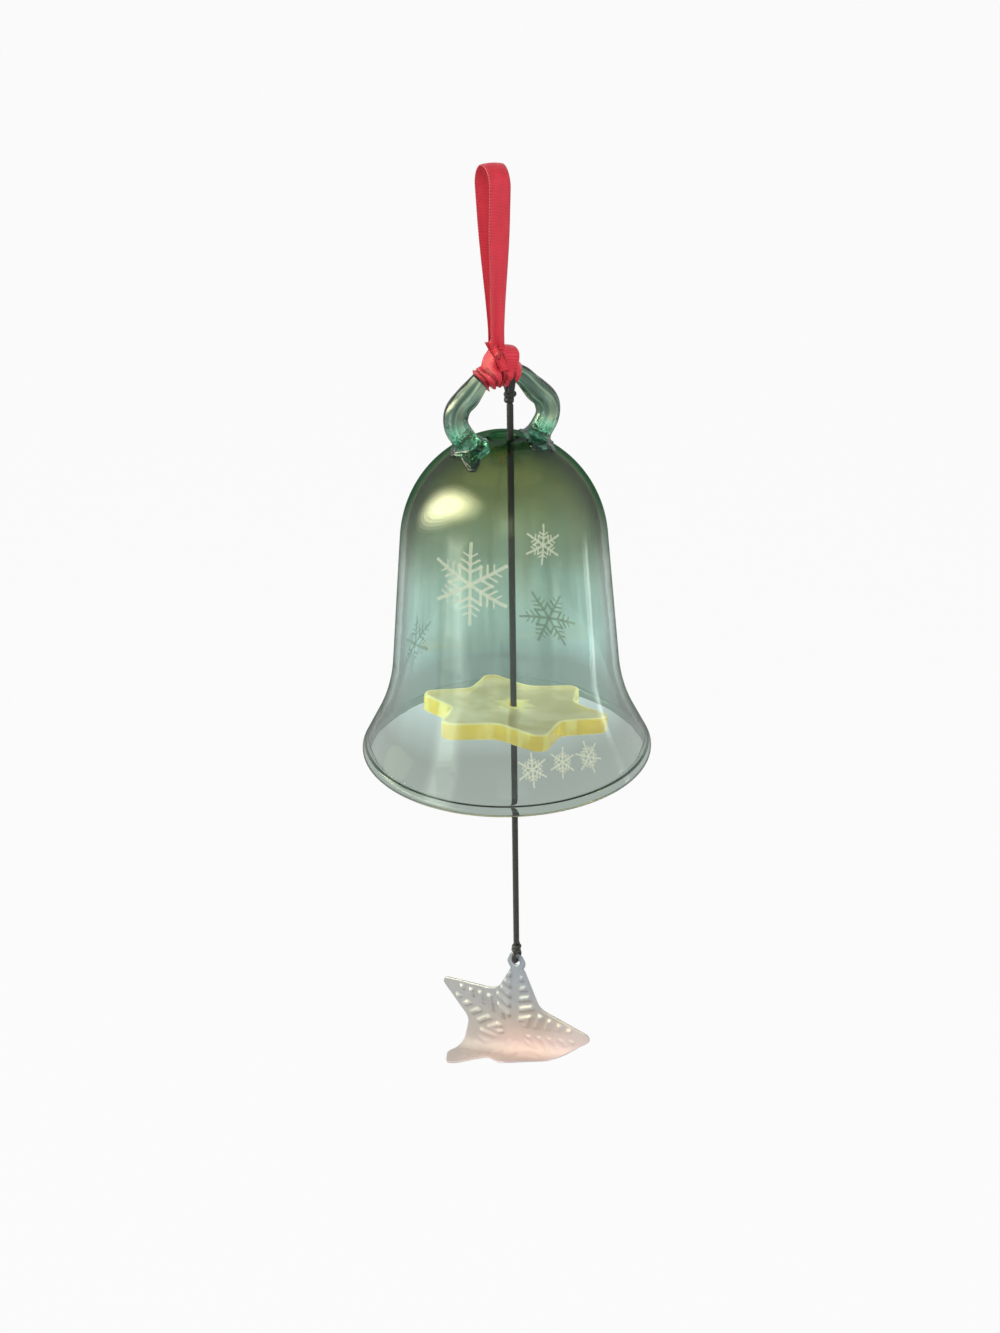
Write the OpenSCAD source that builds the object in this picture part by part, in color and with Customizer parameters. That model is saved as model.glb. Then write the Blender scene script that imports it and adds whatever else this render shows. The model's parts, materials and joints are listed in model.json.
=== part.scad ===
// Glass bell wind chime that hangs from a ribbon loop: a blown bell with a rod loop on its crown,
// a star clapper on a cord inside it, and a sheet-metal star below that catches the wind.
// Z = 0 is where the hook carries the ribbon; everything hangs below it along the Z axis.

/* [Bell] */
// Outside diameter of the bell's lip
rim_d = 76; // [60:1:95]
// Height of the bell from its lip to its crown
bell_h = 84.5; // [70:0.5:105]
// Thickness of the blown wall
wall = 1.6; // [1:0.1:2.4]
// Radius of the rounded bead along the lip
lip_r = 1.4; // [1:0.1:2.5]
// Lean of the flare above the lip, from upright, in degrees
flare_lean = 28; // [20:1:34]
// Length of the straight part of the flare
flare_l = 8; // [4:0.5:14]
// Radius of the hollow curve between the flare and the waist
flare_r = 45; // [30:1:60]
// Lean of the waist, from upright, in degrees
waist_lean = 5.5; // [2:0.5:8]
// Height of the dome under the crown
dome_h = 24.5; // [18:0.5:30]
// Radius of the flat on top of the dome
crown_r = 6; // [5.5:0.5:10]

/* [Glass loop] */
// Diameter of the loop's solid rod
rod_d = 5.8; // [4:0.2:7]
// Width of the loop, measured along the middle of the rod
loop_w = 24; // [20:0.5:30]
// Height of the rod's middle above the crown, at the top of the loop
loop_h = 15; // [13.5:0.5:20]
// Radius of the arch at the top of the loop
arch_r = 9; // [7:0.5:11]
// Slope of the loop's shoulders, in degrees
arch_slope = 40; // [30:1:45]
// Radius of the bends above the loop's feet
bend_r = 5.5; // [4.5:0.5:6]
// How far the feet tuck in under the bends, in degrees
foot_tuck = 35; // [20:1:45]
// How far the melted blob round each foot stands out from the rod
blob_swell = 0.5; // [0.2:0.1:1]

/* [Ribbon] */
// Width of the ribbon
ribbon_w = 5; // [3:0.5:8]
// Thickness of the ribbon
ribbon_t = 0.4; // [0.2:0.1:0.8]
// Drop from the hook to the middle of the glass rod
ribbon_drop = 47.5; // [40:0.5:150]
// Inside radius of the ribbon where it goes over the hook
bight_r = 4.5; // [3:0.5:8]
// Width of the gathered neck above the knot
neck_w = 4.2; // [3:0.2:6]
// Thickness of the gathered neck
neck_t = 1.6; // [1.2:0.1:2.4]
// Height of the gathered neck
neck_h = 3.5; // [2:0.5:6]
// Width of the knot along the glass rod
knot_w = 10.6; // [8:0.2:12]
// Thickness of the ribbon wrapped round the rod
wrap_t = 1.2; // [0.8:0.1:1.8]
// Radius of the roll of ribbon on top of the rod
roll_r = 2.1; // [1.6:0.1:2.6]
// Height of the roll's middle above the wrapped ribbon
roll_up = 0.8; // [0.4:0.1:1.4]
// How far the roll's ends stay inside the knot's width
roll_in = 0.5; // [0.2:0.1:1]

/* [Cord] */
// Diameter of the braided cord
cord_d = 1.7; // [1:0.1:2]
// Radius of the knot under the glass rod
top_knot_r = 1.25; // [1:0.05:1.6]
// Radius of the knot that carries the star
stop_knot_r = 2.1; // [1.9:0.1:2.6]
// Radius of the knot above the sail
sail_knot_r = 1.5; // [1.2:0.1:2]
// Diameter of the cord drawn through the sail
sail_cord_d = 1.2; // [0.8:0.1:1.5]
// How far the noose sits from the top of the arch, towards +X
hang_x = 2; // [0:0.1:2.4]
// Distance from the star's middle to where the sail is held
tail_l = 78.2; // [60:0.2:140]

/* [Star clapper] */
// Depth of the notches between the star's points
star_notch = 10.3; // [7:0.5:13]
// Rounding of the points
star_tip_round = 3; // [1:0.5:4]
// Rounding of the corners between the points
star_dip_round = 4; // [1:0.5:6]
// Thickness of the star
star_t = 4.5; // [3:0.1:6]
// Width of the bevel round the hole
star_bevel = 0.5; // [0.2:0.1:0.8]
// Height of the star's middle above the bell's lip
star_up = 9.7; // [6:0.1:14]
// Turn of the star about the cord, in degrees
star_turn = 23; // [0:1:59]
// Lean of the star on its knot, in degrees
star_lean = 8.8; // [0:0.1:12]
// Direction of the star's low side, in degrees
star_low_side = 42; // [0:1:359]

/* [Wind sail] */
// Radius to the sail's points before they are rounded
sail_r = 27.5; // [25:0.5:32]
// How much longer the top point is
sail_top_extra = 2.1; // [0:0.1:4]
// Radii to the corners between the points, from the top point towards -X and round
sail_dips = [14.7, 16.2, 16, 15, 13.9]; // [12:0.1:18]
// Rounding of the sail's points
sail_tip_round = 1.6; // [0.8:0.1:2]
// Rounding of the corners between the sail's points
sail_dip_round = 4; // [2:0.5:6]
// Thickness of the sheet
sail_t = 0.5; // [0.4:0.1:1]
// Distance of the hole in from the sharp top point
sail_hole_in = 4.6; // [4:0.1:8]
// Width of the metal round the hole
tab_wall = 1.5; // [1:0.1:2]
// Direction of the line along which the sheet is bent, in degrees
fold_dir = 20; // [0:1:30]
// Distance of the bend from the sail's middle
fold_off = 3.4; // [0:0.2:8]
// Radius of the bend
fold_r = 3.3; // [3:0.1:8]
// Angle of the bend, in degrees
fold_angle = 122; // [20:1:130]
// Turn of the sail about the cord, in degrees
sail_turn = -53.5; // [-180:0.5:180]
// Lean of the sail under its cord ring, in degrees
sail_lean = 1.2; // [-20:0.1:20]
// Roll of the sail under its cord ring, in degrees
sail_roll = 2.9; // [-20:0.1:20]

/* [Clearances] */
// Gap between pieces that are tied or fused together
tie_gap = 0.05; // [0.02:0.01:0.1]
// Gap between pieces that move on each other
run_gap = 0.3; // [0.2:0.05:0.5]
// Gap between the glass and the star's points before they are rounded
star_gap = 4.85; // [3.5:0.05:12]
// Room round the cord in the crown's hole
crown_room = 3.25; // [2.5:0.05:4]
// Room round the cord in the star's hole
star_room = 0.85; // [0.8:0.05:1.2]
// Room round the cord in the sail's hole
sail_room = 0.7; // [0.6:0.05:1]

/* [Hidden] */
$fn = 64;

rod_r = rod_d / 2;
cord_r = cord_d / 2;
sail_cord_r = sail_cord_d / 2;
blob_r = rod_r + blob_swell;
crown_hole_r = cord_r + crown_room;
star_hole_r = cord_r + star_room;
sail_hole_r = sail_cord_r + sail_room;
tab_r = sail_hole_r + tab_wall;
sail_hole_up = sail_r + sail_top_extra - sail_hole_in;
sail_hold_up = sail_hole_up + sail_hole_r + tab_wall / 2;
arc_steps = 14;
corner_steps = 6;
cord_sides = 8;
cord_ring_step = 3 * cord_d;

// Heights down the Z axis
rod_z = -ribbon_drop;
crown_z = rod_z - loop_h;
rim_z = crown_z - bell_h;
swing_z = rod_z + rod_r + wrap_t + roll_up + roll_r;
neck_top_z = swing_z + neck_h;
noose_r = rod_r + tie_gap + cord_r;
top_knot_z = rod_z - noose_r - cord_r - top_knot_r - run_gap;
star_z = rim_z + star_up;
stop_knot_z = star_z - star_t / 2 - stop_knot_r - run_gap;
sail_hold_z = star_z - tail_l;
sail_ring_r = tab_wall / 2 + run_gap + sail_cord_r;
sail_knot_z = sail_hold_z + sail_ring_r + sail_knot_r - run_gap;
noose_turn = asin(hang_x / arch_r);

// Plain vector helpers
function unit(v) = v / norm(v);
function polar(r, a) = r * [cos(a), sin(a)];
function arc(centre, r, a0, a1, steps) =
    [for (i = [0:steps]) centre + polar(r, a0 + (a1 - a0) * i / steps)];

// Outline with every corner rounded: points with their radii, each corner an arc
function short_turn(a) = a - 360 * round(a / 360);
function corner(before, at, after, r, steps) =
    let (u = unit(before - at), w = unit(after - at), half = acos(u * w) / 2)
    let (centre = at + unit(u + w) * r / sin(half), reach = r / tan(half))
    let (from = at + u * reach - centre, to = at + w * reach - centre)
    let (a0 = atan2(from[1], from[0]), a1 = atan2(to[1], to[0]))
    arc(centre, r, a0, a0 + short_turn(a1 - a0), steps);
function rounded(points, radii, steps) =
    let (n = len(points))
    [for (i = [0:n - 1])
        each corner(points[(i + n - 1) % n], points[i], points[(i + 1) % n], radii[i % 2], steps)];
function star_points(tips, dips) =
    let (n = len(tips))
    [for (i = [0:2 * n - 1]) polar(i % 2 == 0 ? tips[i / 2] : dips[(i - 1) / 2], 90 + 180 * i / n)];
function times(n, value) = [for (i = [1:n]) value];

// Bell profile: bead, straight flare, hollow curve, leaning waist and dome, in tangent arcs and lines.
// Each stretch is drawn at a depth inside the outer face, so both faces of the wall share it.
bead = [rim_d / 2 - lip_r, lip_r];
flare_foot = bead + polar(lip_r, flare_lean);
flare_top = flare_foot + flare_l * [-sin(flare_lean), cos(flare_lean)];
flare_centre = flare_top + polar(flare_r, flare_lean);
waist_foot = flare_centre - polar(flare_r, waist_lean);
shoulder_h = bell_h - dome_h;
waist_top = [waist_foot[0] - (shoulder_h - waist_foot[1]) * tan(waist_lean), shoulder_h];
crown_edge = [crown_r, bell_h];
dome_chord = crown_edge - waist_top;
dome_r = (dome_chord * dome_chord) / (-2 * (dome_chord * polar(1, waist_lean)));
dome_centre = waist_top - polar(dome_r, waist_lean);
dome_end = atan2(bell_h - dome_centre[1], crown_r - dome_centre[0]);
function bell_face(depth) = concat(
    [flare_foot - polar(depth, flare_lean)],
    [for (i = [0:arc_steps])
        let (a = flare_lean + (waist_lean - flare_lean) * i / arc_steps)
        flare_centre - polar(flare_r + depth, a)],
    arc(dome_centre, dome_r - depth, waist_lean, dome_end, 2 * arc_steps));
function backwards(points) = [for (i = [len(points) - 1:-1:0]) points[i]];

// Star inside the bell: its points stay a gap away from the glass at the star's height
glass_r = lookup(star_up, [for (p = bell_face(wall)) [p[1], p[0]]]);
star_r = glass_r - star_gap;
star_dip_r = star_r - star_notch;

// Glass loop route in its own plane, right half: arch, straight shoulder, bend, tucked foot
arch_centre_z = rod_z - arch_r;
arch_end = [0, arch_centre_z] + polar(arch_r, 90 - arch_slope);
bend_centre_x = loop_w / 2 - bend_r;
shoulder_end_x = bend_centre_x + bend_r * sin(arch_slope);
shoulder_l = (shoulder_end_x - arch_end[0]) / cos(arch_slope);
shoulder_end = arch_end + shoulder_l * [cos(arch_slope), -sin(arch_slope)];
bend_centre = shoulder_end - polar(bend_r, 90 - arch_slope);
foot_start = bend_centre + polar(bend_r, -foot_tuck);
foot_dir = [-sin(foot_tuck), -cos(foot_tuck)];
foot_sink = 3;
rod_step = 0.06;
rod_lap = 0.6;
foot_l = (foot_start[1] - crown_z + foot_sink) / cos(foot_tuck);
blob_at = foot_start + foot_dir * (foot_start[1] - crown_z) / cos(foot_tuck);

// Cord routes from end to end
function hung(z) = [hang_x, 0, z];
upper_route = [hung(top_knot_z - top_knot_r - run_gap), hung(stop_knot_z + stop_knot_r + run_gap)];
lower_route = [hung(stop_knot_z - stop_knot_r - run_gap), hung(sail_knot_z + sail_knot_r + run_gap)];
function along(route) =
    let (n = max(1, round(norm(route[1] - route[0]) / cord_ring_step)))
    [for (i = [0:n]) route[0] + (route[1] - route[0]) * i / n];

module tube(points, r, sides) {
    n = len(points);
    rings = [for (p = points) for (k = [0:sides - 1])
        let (round_at = polar(r, 360 * k / sides))
        p + [round_at[0], round_at[1], 0]];
    walls = [for (i = [0:n - 2]) for (k = [0:sides - 1])
        let (a = i * sides + k, b = i * sides + (k + 1) % sides)
        each [[a, b, a + sides], [b, b + sides, a + sides]]];
    first_lid = [for (k = [sides - 1:-1:0]) k];
    last_lid = [for (k = [0:sides - 1]) (n - 1) * sides + k];
    polyhedron(rings, concat(walls, [first_lid, last_lid]));
}

// A stretch of rod bent in the XZ plane, between two angles from +X
module bent_rod(centre, r, a0, a1, thick) {
    translate([centre[0], 0, centre[1]])
        rotate([90, 0, 0])
            rotate([0, 0, a0])
                rotate_extrude(angle = a1 - a0)
                    translate([r, 0])
                        circle(r = thick);
}

// A straight stretch of rod, a hair thinner than the bends whose ends it runs into
module straight_rod(from, dir, length, thick) {
    translate([from[0], 0, from[1]])
        rotate([0, atan2(dir[0], dir[1]), 0])
            translate([0, 0, -rod_lap])
                cylinder(r = thick - rod_step, h = length + 2 * rod_lap);
}

module cord_ring(r, thick) {
    rotate_extrude()
        translate([r, 0])
            circle(r = thick);
}

// Closed outline of the ribbon's loop seen from its edge, at a distance outside its inner face
neck_half = ribbon_t + tie_gap;
strand_foot_z = neck_top_z + tie_gap;
function ribbon_outline(out) = concat(
    arc([0, -bight_r], bight_r + out, 0, 180, 2 * arc_steps),
    [[-(neck_half - ribbon_t + out), strand_foot_z], [neck_half - ribbon_t + out, strand_foot_z]]);

module ribbon_loop() {
    color([0.86, 0.08, 0.16])
        rotate([90, 0, 90])
            linear_extrude(ribbon_w, center = true)
                difference() {
                    polygon(ribbon_outline(ribbon_t));
                    polygon(ribbon_outline(0));
                }
}

module ribbon_neck() {
    color([0.78, 0.05, 0.13]) {
        translate([-neck_w / 2, -neck_t / 2, swing_z])
            cube([neck_w, neck_t, neck_h]);
        translate([0, 0, swing_z])
            rotate([0, 90, 0])
                cylinder(d = neck_t, h = neck_w, center = true);
    }
}

// Place of the noose on the arch, with Z along the rod
module at_noose() {
    translate([0, 0, arch_centre_z])
        rotate([0, noose_turn, 0])
            translate([0, 0, arch_r])
                rotate([0, 90, 0])
                    children();
}

module ribbon_hitch() {
    slot_half = cord_r + run_gap;
    wrap_end = asin(knot_w / 2 / arch_r);
    roll_z = swing_z - roll_r;
    color([0.86, 0.08, 0.16])
        difference() {
            union() {
                bent_rod([0, arch_centre_z], arch_r, 90 - wrap_end, 90 + wrap_end, rod_r + wrap_t);
                translate([0, 0, roll_z])
                    rotate([0, 90, 0])
                        cylinder(r = roll_r, h = knot_w - 2 * roll_in, center = true);
            }
            loop_rod(tie_gap);
            at_noose()
                cylinder(r = noose_r + cord_r + tie_gap, h = 2 * slot_half, center = true);
            translate([0, 0, swing_z])
                rotate([0, 90, 0])
                    cylinder(r = neck_t / 2 + run_gap, h = knot_w, center = true);
        }
}

// The loop's rod, grown by a gap where another piece is cut to it
module loop_rod(grow) {
    thick = rod_r + grow;
    bent_rod([0, arch_centre_z], arch_r, 90 - arch_slope, 90 + arch_slope, thick);
    for (side = [0, 1])
        mirror([side, 0, 0]) {
            straight_rod(arch_end, shoulder_end - arch_end, shoulder_l, thick);
            bent_rod(bend_centre, bend_r, -foot_tuck, 90 - arch_slope, thick);
            straight_rod(foot_start, foot_dir, foot_l, thick);
        }
}

// Solid of the bell's outer face, grown by a gap
module bell_envelope(grow) {
    face = bell_face(-grow);
    translate([0, 0, rim_z])
        rotate_extrude()
            polygon(concat([[0, lip_r]], face, [[crown_r, bell_h + grow], [0, bell_h + grow]]));
}

module glass_loop() {
    color([0.36, 0.62, 0.48, 0.6])
        difference() {
            union() {
                loop_rod(0);
                for (side = [0, 1])
                    mirror([side, 0, 0])
                        translate([blob_at[0], 0, blob_at[1]])
                            sphere(r = blob_r);
            }
            bell_envelope(tie_gap);
        }
}

module glass_bell() {
    outer = bell_face(0);
    inner = bell_face(wall);
    crown = [[crown_hole_r, bell_h], [crown_hole_r, bell_h - wall]];
    color([0.5, 0.66, 0.58, 0.45])
        translate([0, 0, rim_z])
            rotate_extrude()
                union() {
                    polygon(concat(outer, crown, backwards(inner)));
                    translate(bead)
                        circle(r = lip_r);
                }
}

module cord_noose() {
    color([0.08, 0.08, 0.09])
        at_noose()
            cord_ring(noose_r, cord_r);
}

module cord_top_knot() {
    color([0.08, 0.08, 0.09])
        translate(hung(top_knot_z))
            sphere(r = top_knot_r);
}

module cord_upper() {
    color([0.08, 0.08, 0.09])
        tube(along(upper_route), cord_r, cord_sides);
}

module stopper_knot() {
    color([0.08, 0.08, 0.09])
        translate(hung(stop_knot_z))
            sphere(r = stop_knot_r);
}

module star_clapper() {
    corners = star_points(times(6, star_r), times(6, star_dip_r));
    outline = rounded(corners, [star_tip_round, star_dip_round], corner_steps);
    bevel = 2 * star_bevel;
    color([0.95, 0.83, 0.35, 0.7])
        translate(hung(star_z))
            rotate(a = star_lean, v = [-sin(star_low_side), cos(star_low_side), 0])
                rotate([0, 0, star_turn - 90])
                    difference() {
                        linear_extrude(star_t, center = true)
                            polygon(outline);
                        cylinder(r = star_hole_r, h = 2 * star_t, center = true);
                        for (side = [0, 1])
                            mirror([0, 0, side])
                                translate([0, 0, star_t / 2 - star_bevel])
                                    cylinder(r1 = star_hole_r, r2 = star_hole_r + bevel, h = bevel);
                    }
}

module cord_lower() {
    color([0.08, 0.08, 0.09])
        tube(along(lower_route), cord_r, cord_sides);
}

module sail_knot() {
    color([0.08, 0.08, 0.09]) {
        translate(hung(sail_knot_z))
            sphere(r = sail_knot_r);
        translate(hung(sail_hold_z))
            rotate([0, 0, sail_turn])
                rotate([0, 90, 0])
                    cord_ring(sail_ring_r, sail_cord_r);
    }
}

// A point of the bent sheet: flat place across and up, and depth behind the sheet's middle
function bent(place, depth) =
    let (past = place[0] * sin(fold_dir) - place[1] * cos(fold_dir) - fold_off)
    let (level = place[0] * cos(fold_dir) + place[1] * sin(fold_dir))
    let (turn = min(max(past, 0) / fold_r * 180 / PI, fold_angle))
    let (rest = max(0, past - fold_r * fold_angle * PI / 180))
    let (run = min(past, 0) + fold_r * sin(turn) + rest * cos(turn) + fold_off + depth * sin(turn))
    let (out = fold_r * (1 - cos(turn)) + rest * sin(turn) - depth * cos(turn))
    [run * sin(fold_dir) + level * cos(fold_dir), -out, level * sin(fold_dir) - run * cos(fold_dir)];

sail_rings = 7;
module bent_star() {
    tips = concat([sail_r + sail_top_extra], times(4, sail_r));
    rim = rounded(star_points(tips, sail_dips), [sail_tip_round, sail_dip_round], corner_steps);
    n = len(rim);
    layer = 1 + sail_rings * n;
    points = [for (side = [-1, 1])
        each concat([bent([0, 0], side * sail_t / 2)],
            [for (j = [1:sail_rings]) for (p = rim) bent(p * j / sail_rings, side * sail_t / 2)])];
    function at(side, j, i) = side * layer + 1 + (j - 1) * n + i % n;
    function facing(side, f) = side == 0 ? f : backwards(f);
    sheet = [for (side = [0, 1]) for (i = [0:n - 1])
        each concat([facing(side, [side * layer, at(side, 1, i + 1), at(side, 1, i)])],
            [for (j = [1:sail_rings - 1])
                each [facing(side, [at(side, j, i), at(side, j, i + 1), at(side, j + 1, i)]),
                      facing(side, [at(side, j, i + 1), at(side, j + 1, i + 1), at(side, j + 1, i)])]])];
    edge = [for (i = [0:n - 1])
        each [[at(0, sail_rings, i), at(0, sail_rings, i + 1), at(1, sail_rings, i)],
              [at(0, sail_rings, i + 1), at(1, sail_rings, i + 1), at(1, sail_rings, i)]]];
    polyhedron(points, concat(sheet, edge));
}

module wind_sail() {
    color([0.72, 0.71, 0.72])
        translate(hung(sail_hold_z))
            rotate([0, 0, sail_turn])
                rotate([sail_lean, sail_roll, 0])
                    translate([0, 0, -sail_hold_up])
                        difference() {
                            union() {
                                bent_star();
                                translate([0, 0, sail_hole_up])
                                    rotate([90, 0, 0])
                                        cylinder(r = tab_r, h = sail_t, center = true);
                            }
                            translate([0, 0, sail_hole_up])
                                rotate([90, 0, 0])
                                    cylinder(r = sail_hole_r, h = 4 * sail_t, center = true);
                        }
}

ribbon_loop();
ribbon_neck();
ribbon_hitch();
glass_loop();
glass_bell();
cord_noose();
cord_top_knot();
cord_upper();
stopper_knot();
star_clapper();
cord_lower();
sail_knot();
wind_sail();
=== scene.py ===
import json
import math

import bmesh
import bpy
from mathutils import Matrix, Quaternion, Vector, geometry


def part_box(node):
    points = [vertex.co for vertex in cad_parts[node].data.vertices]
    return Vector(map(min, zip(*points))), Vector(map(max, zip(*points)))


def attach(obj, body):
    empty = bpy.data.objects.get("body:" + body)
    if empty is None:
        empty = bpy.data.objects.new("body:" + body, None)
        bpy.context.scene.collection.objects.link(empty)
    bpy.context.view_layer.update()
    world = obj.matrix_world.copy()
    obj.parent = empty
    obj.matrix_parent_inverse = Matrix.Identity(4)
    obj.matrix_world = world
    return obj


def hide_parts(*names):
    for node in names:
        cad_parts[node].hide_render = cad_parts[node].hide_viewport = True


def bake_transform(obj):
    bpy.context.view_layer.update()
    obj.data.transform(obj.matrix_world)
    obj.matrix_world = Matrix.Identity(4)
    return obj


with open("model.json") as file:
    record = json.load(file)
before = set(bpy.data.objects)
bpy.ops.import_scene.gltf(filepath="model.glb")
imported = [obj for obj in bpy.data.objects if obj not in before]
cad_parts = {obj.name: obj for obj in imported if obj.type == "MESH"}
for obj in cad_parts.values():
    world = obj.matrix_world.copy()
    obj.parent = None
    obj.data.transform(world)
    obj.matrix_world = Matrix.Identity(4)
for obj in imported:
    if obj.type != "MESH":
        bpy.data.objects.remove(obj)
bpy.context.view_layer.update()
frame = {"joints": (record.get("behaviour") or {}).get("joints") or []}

# Glass bell wind chime. Lengths are in millimetres here and become metres when a mesh is made.
MM = 0.001
UP = Vector((0, 0, 1))
RIGHT = Vector((1, 0, 0))
BACK = Vector((0, 1, 0))
TURN = 2 * math.pi
SIXTH = TURN / 6


def pivot(joint):
    """Place of a joint."""
    found = next(j for j in frame["joints"] if j["name"] == joint)
    return Vector(found["pos_m"]) / MM


def node_box(node):
    """Lowest and highest corner of a CAD node."""
    low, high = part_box(node)
    return Vector(low) / MM, Vector(high) / MM


# Places that the frame gives
BELL_LOW, BELL_HIGH = node_box("glass_bell")
RIM_Z, CROWN_Z, RIM_R = BELL_LOW.z, BELL_HIGH.z, BELL_HIGH.x
BELL_H = CROWN_Z - RIM_Z
NECK_TOP = pivot("bell_turn")
SWING = pivot("bell_swing")
TOP_KNOT = pivot("clapper_swing")
STAR_AT = pivot("star_tilt")
STOP_KNOT = pivot("tail_swing")
SAIL_KNOT = pivot("sail_turn")
SAIL_HOLD = pivot("sail_rock")
HANG_X = TOP_KNOT.x

# Sizes that are shared with the part's source
WALL, LIP_R = 1.6, 1.4
FLARE_LEAN, FLARE_L, FLARE_R = math.radians(28), 8, 45
WAIST_LEAN, DOME_H = math.radians(5.5), 24.5
CROWN_R = 6
ROD_R = 2.9
ROD_Z = node_box("glass_loop")[1].z - ROD_R
ARCH_R, ARCH_SLOPE = 9, math.radians(40)
LOOP_W, BEND_R, FOOT_TUCK = 24, 5.5, math.radians(35)
RIBBON_W, RIBBON_T, BIGHT_R = 5, 0.4, 4.5
CORD_R, RUN_GAP, TIE_GAP = 0.85, 0.3, 0.05
TOP_KNOT_R, STOP_KNOT_R, SAIL_KNOT_R = 1.25, 2.1, 1.5
SAIL_CORD_R, SAIL_RING_R = 0.6, 1.65
STAR_R, STAR_DIP_R, STAR_TIP_ROUND, STAR_DIP_ROUND = 27.1, 16.8, 3, 4
STAR_T, STAR_HOLE_R = 4.5, 1.7
STAR_TURN, STAR_LEAN, STAR_LOW_SIDE = math.radians(23), math.radians(8.8), math.radians(42)
SAIL_TIP_R, SAIL_TIP_ROUND, SAIL_DIP_ROUND = 27.5, 1.6, 4
SAIL_LOW_DIP_R, SAIL_RIGHT_DIP_R, SAIL_TOP_DIP_R = 16, 15, 13.9
SAIL_T, SAIL_HOLE_R, TAB_WALL = 0.5, 1.3, 1.5
SAIL_HOLE_UP = 25
SAIL_HOLD_UP = SAIL_HOLE_UP + SAIL_HOLE_R + TAB_WALL / 2
FOLD_DIR, FOLD_OFF, FOLD_R, FOLD_ANGLE = math.radians(20), 3.4, 3.3, math.radians(122)
SAIL_TURN, SAIL_LEAN, SAIL_ROLL = math.radians(-53.5), math.radians(1.2), math.radians(2.9)

# Camera of the picture: it looks down on the bell from the left
CAM_AT = Vector((-131.9, -326.5, 42.6))
CAM_HEADING, CAM_PITCH, CAM_ROLL = math.radians(-21.75), math.radians(25.32), math.radians(-0.92)
FRAME_W, FRAME_H = 1000, 1333
FOCAL_PX = 1508
SENSOR = 36


def make_camera():
    data = bpy.data.cameras.new("camera")
    data.sensor_width = SENSOR
    data.lens = SENSOR * FOCAL_PX / max(FRAME_W, FRAME_H)
    camera = bpy.data.objects.new("camera", data)
    turn = Matrix.Rotation(CAM_HEADING, 4, "Z") @ Matrix.Rotation(math.pi / 2 - CAM_PITCH, 4, "X")
    turn = turn @ Matrix.Rotation(CAM_ROLL, 4, "Z")
    camera.matrix_world = Matrix.Translation(CAM_AT * MM) @ turn
    bpy.context.scene.collection.objects.link(camera)
    bpy.context.scene.camera = camera


# Shader and geometry nodes
class Value:
    """A node's output, which takes the usual operators."""

    def __init__(self, owner, socket):
        self.owner = owner
        self.socket = socket

    def maths(self, operation, *others):
        return self.owner.node("Math", {"operation": operation}, [self, *others]).out()

    def __add__(self, other):
        return self.maths("ADD", other)

    def __sub__(self, other):
        return self.maths("SUBTRACT", other)

    def __mul__(self, other):
        return self.maths("MULTIPLY", other)

    def __truediv__(self, other):
        return self.maths("DIVIDE", other)

    def __pow__(self, other):
        return self.maths("POWER", other)

    def __rsub__(self, other):
        return self.maths("MULTIPLY_ADD", -1.0, other)

    __radd__ = __add__
    __rmul__ = __mul__

    def step(self, low, high):
        """0 below low and 1 above high, eased between them."""
        ends = [self, low, high, 0.0, 1.0]
        return self.owner.node("MapRange", {"interpolation_type": "SMOOTHSTEP"}, ends).out()

    def wave(self, pitch):
        """0 to 1 and back over each pitch."""
        return (self * (TURN / pitch)).maths("SINE") * 0.5 + 0.5


class Node:
    """A node whose outputs are taken as values."""

    def __init__(self, owner, node):
        self.owner = owner
        self.node = node

    def out(self, name=0):
        return Value(self.owner, self.node.outputs[name])


class Tree:
    """Adds nodes to a node tree."""

    def __init__(self, tree):
        self.tree = tree

    def node(self, kind, settings=None, inputs=()):
        """Adds a node: its settings first, then its sockets by place or by name."""
        node = self.tree.nodes.new(kind if "Node" in kind else "ShaderNode" + kind)
        for key, value in (settings or {}).items():
            setattr(node, key, value)
        pairs = inputs.items() if isinstance(inputs, dict) else enumerate(inputs)
        for key, value in pairs:
            self.feed(node.inputs[key], value)
        return Node(self, node)

    def feed(self, socket, value):
        if isinstance(value, Value):
            self.tree.links.new(value.socket, socket)
        else:
            socket.default_value = value

    def xyz(self, vector):
        parts = self.node("SeparateXYZ", inputs=[vector])
        return [parts.out(axis) for axis in "XYZ"]

    def vector(self, x, y, z):
        return self.node("CombineXYZ", inputs=[x, y, z]).out()

    def scaled(self, vector, share):
        return self.node("VectorMath", {"operation": "SCALE"}, {0: vector, "Scale": share}).out()

    def added(self, first, second):
        return self.node("VectorMath", {"operation": "ADD"}, [first, second]).out()


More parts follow.
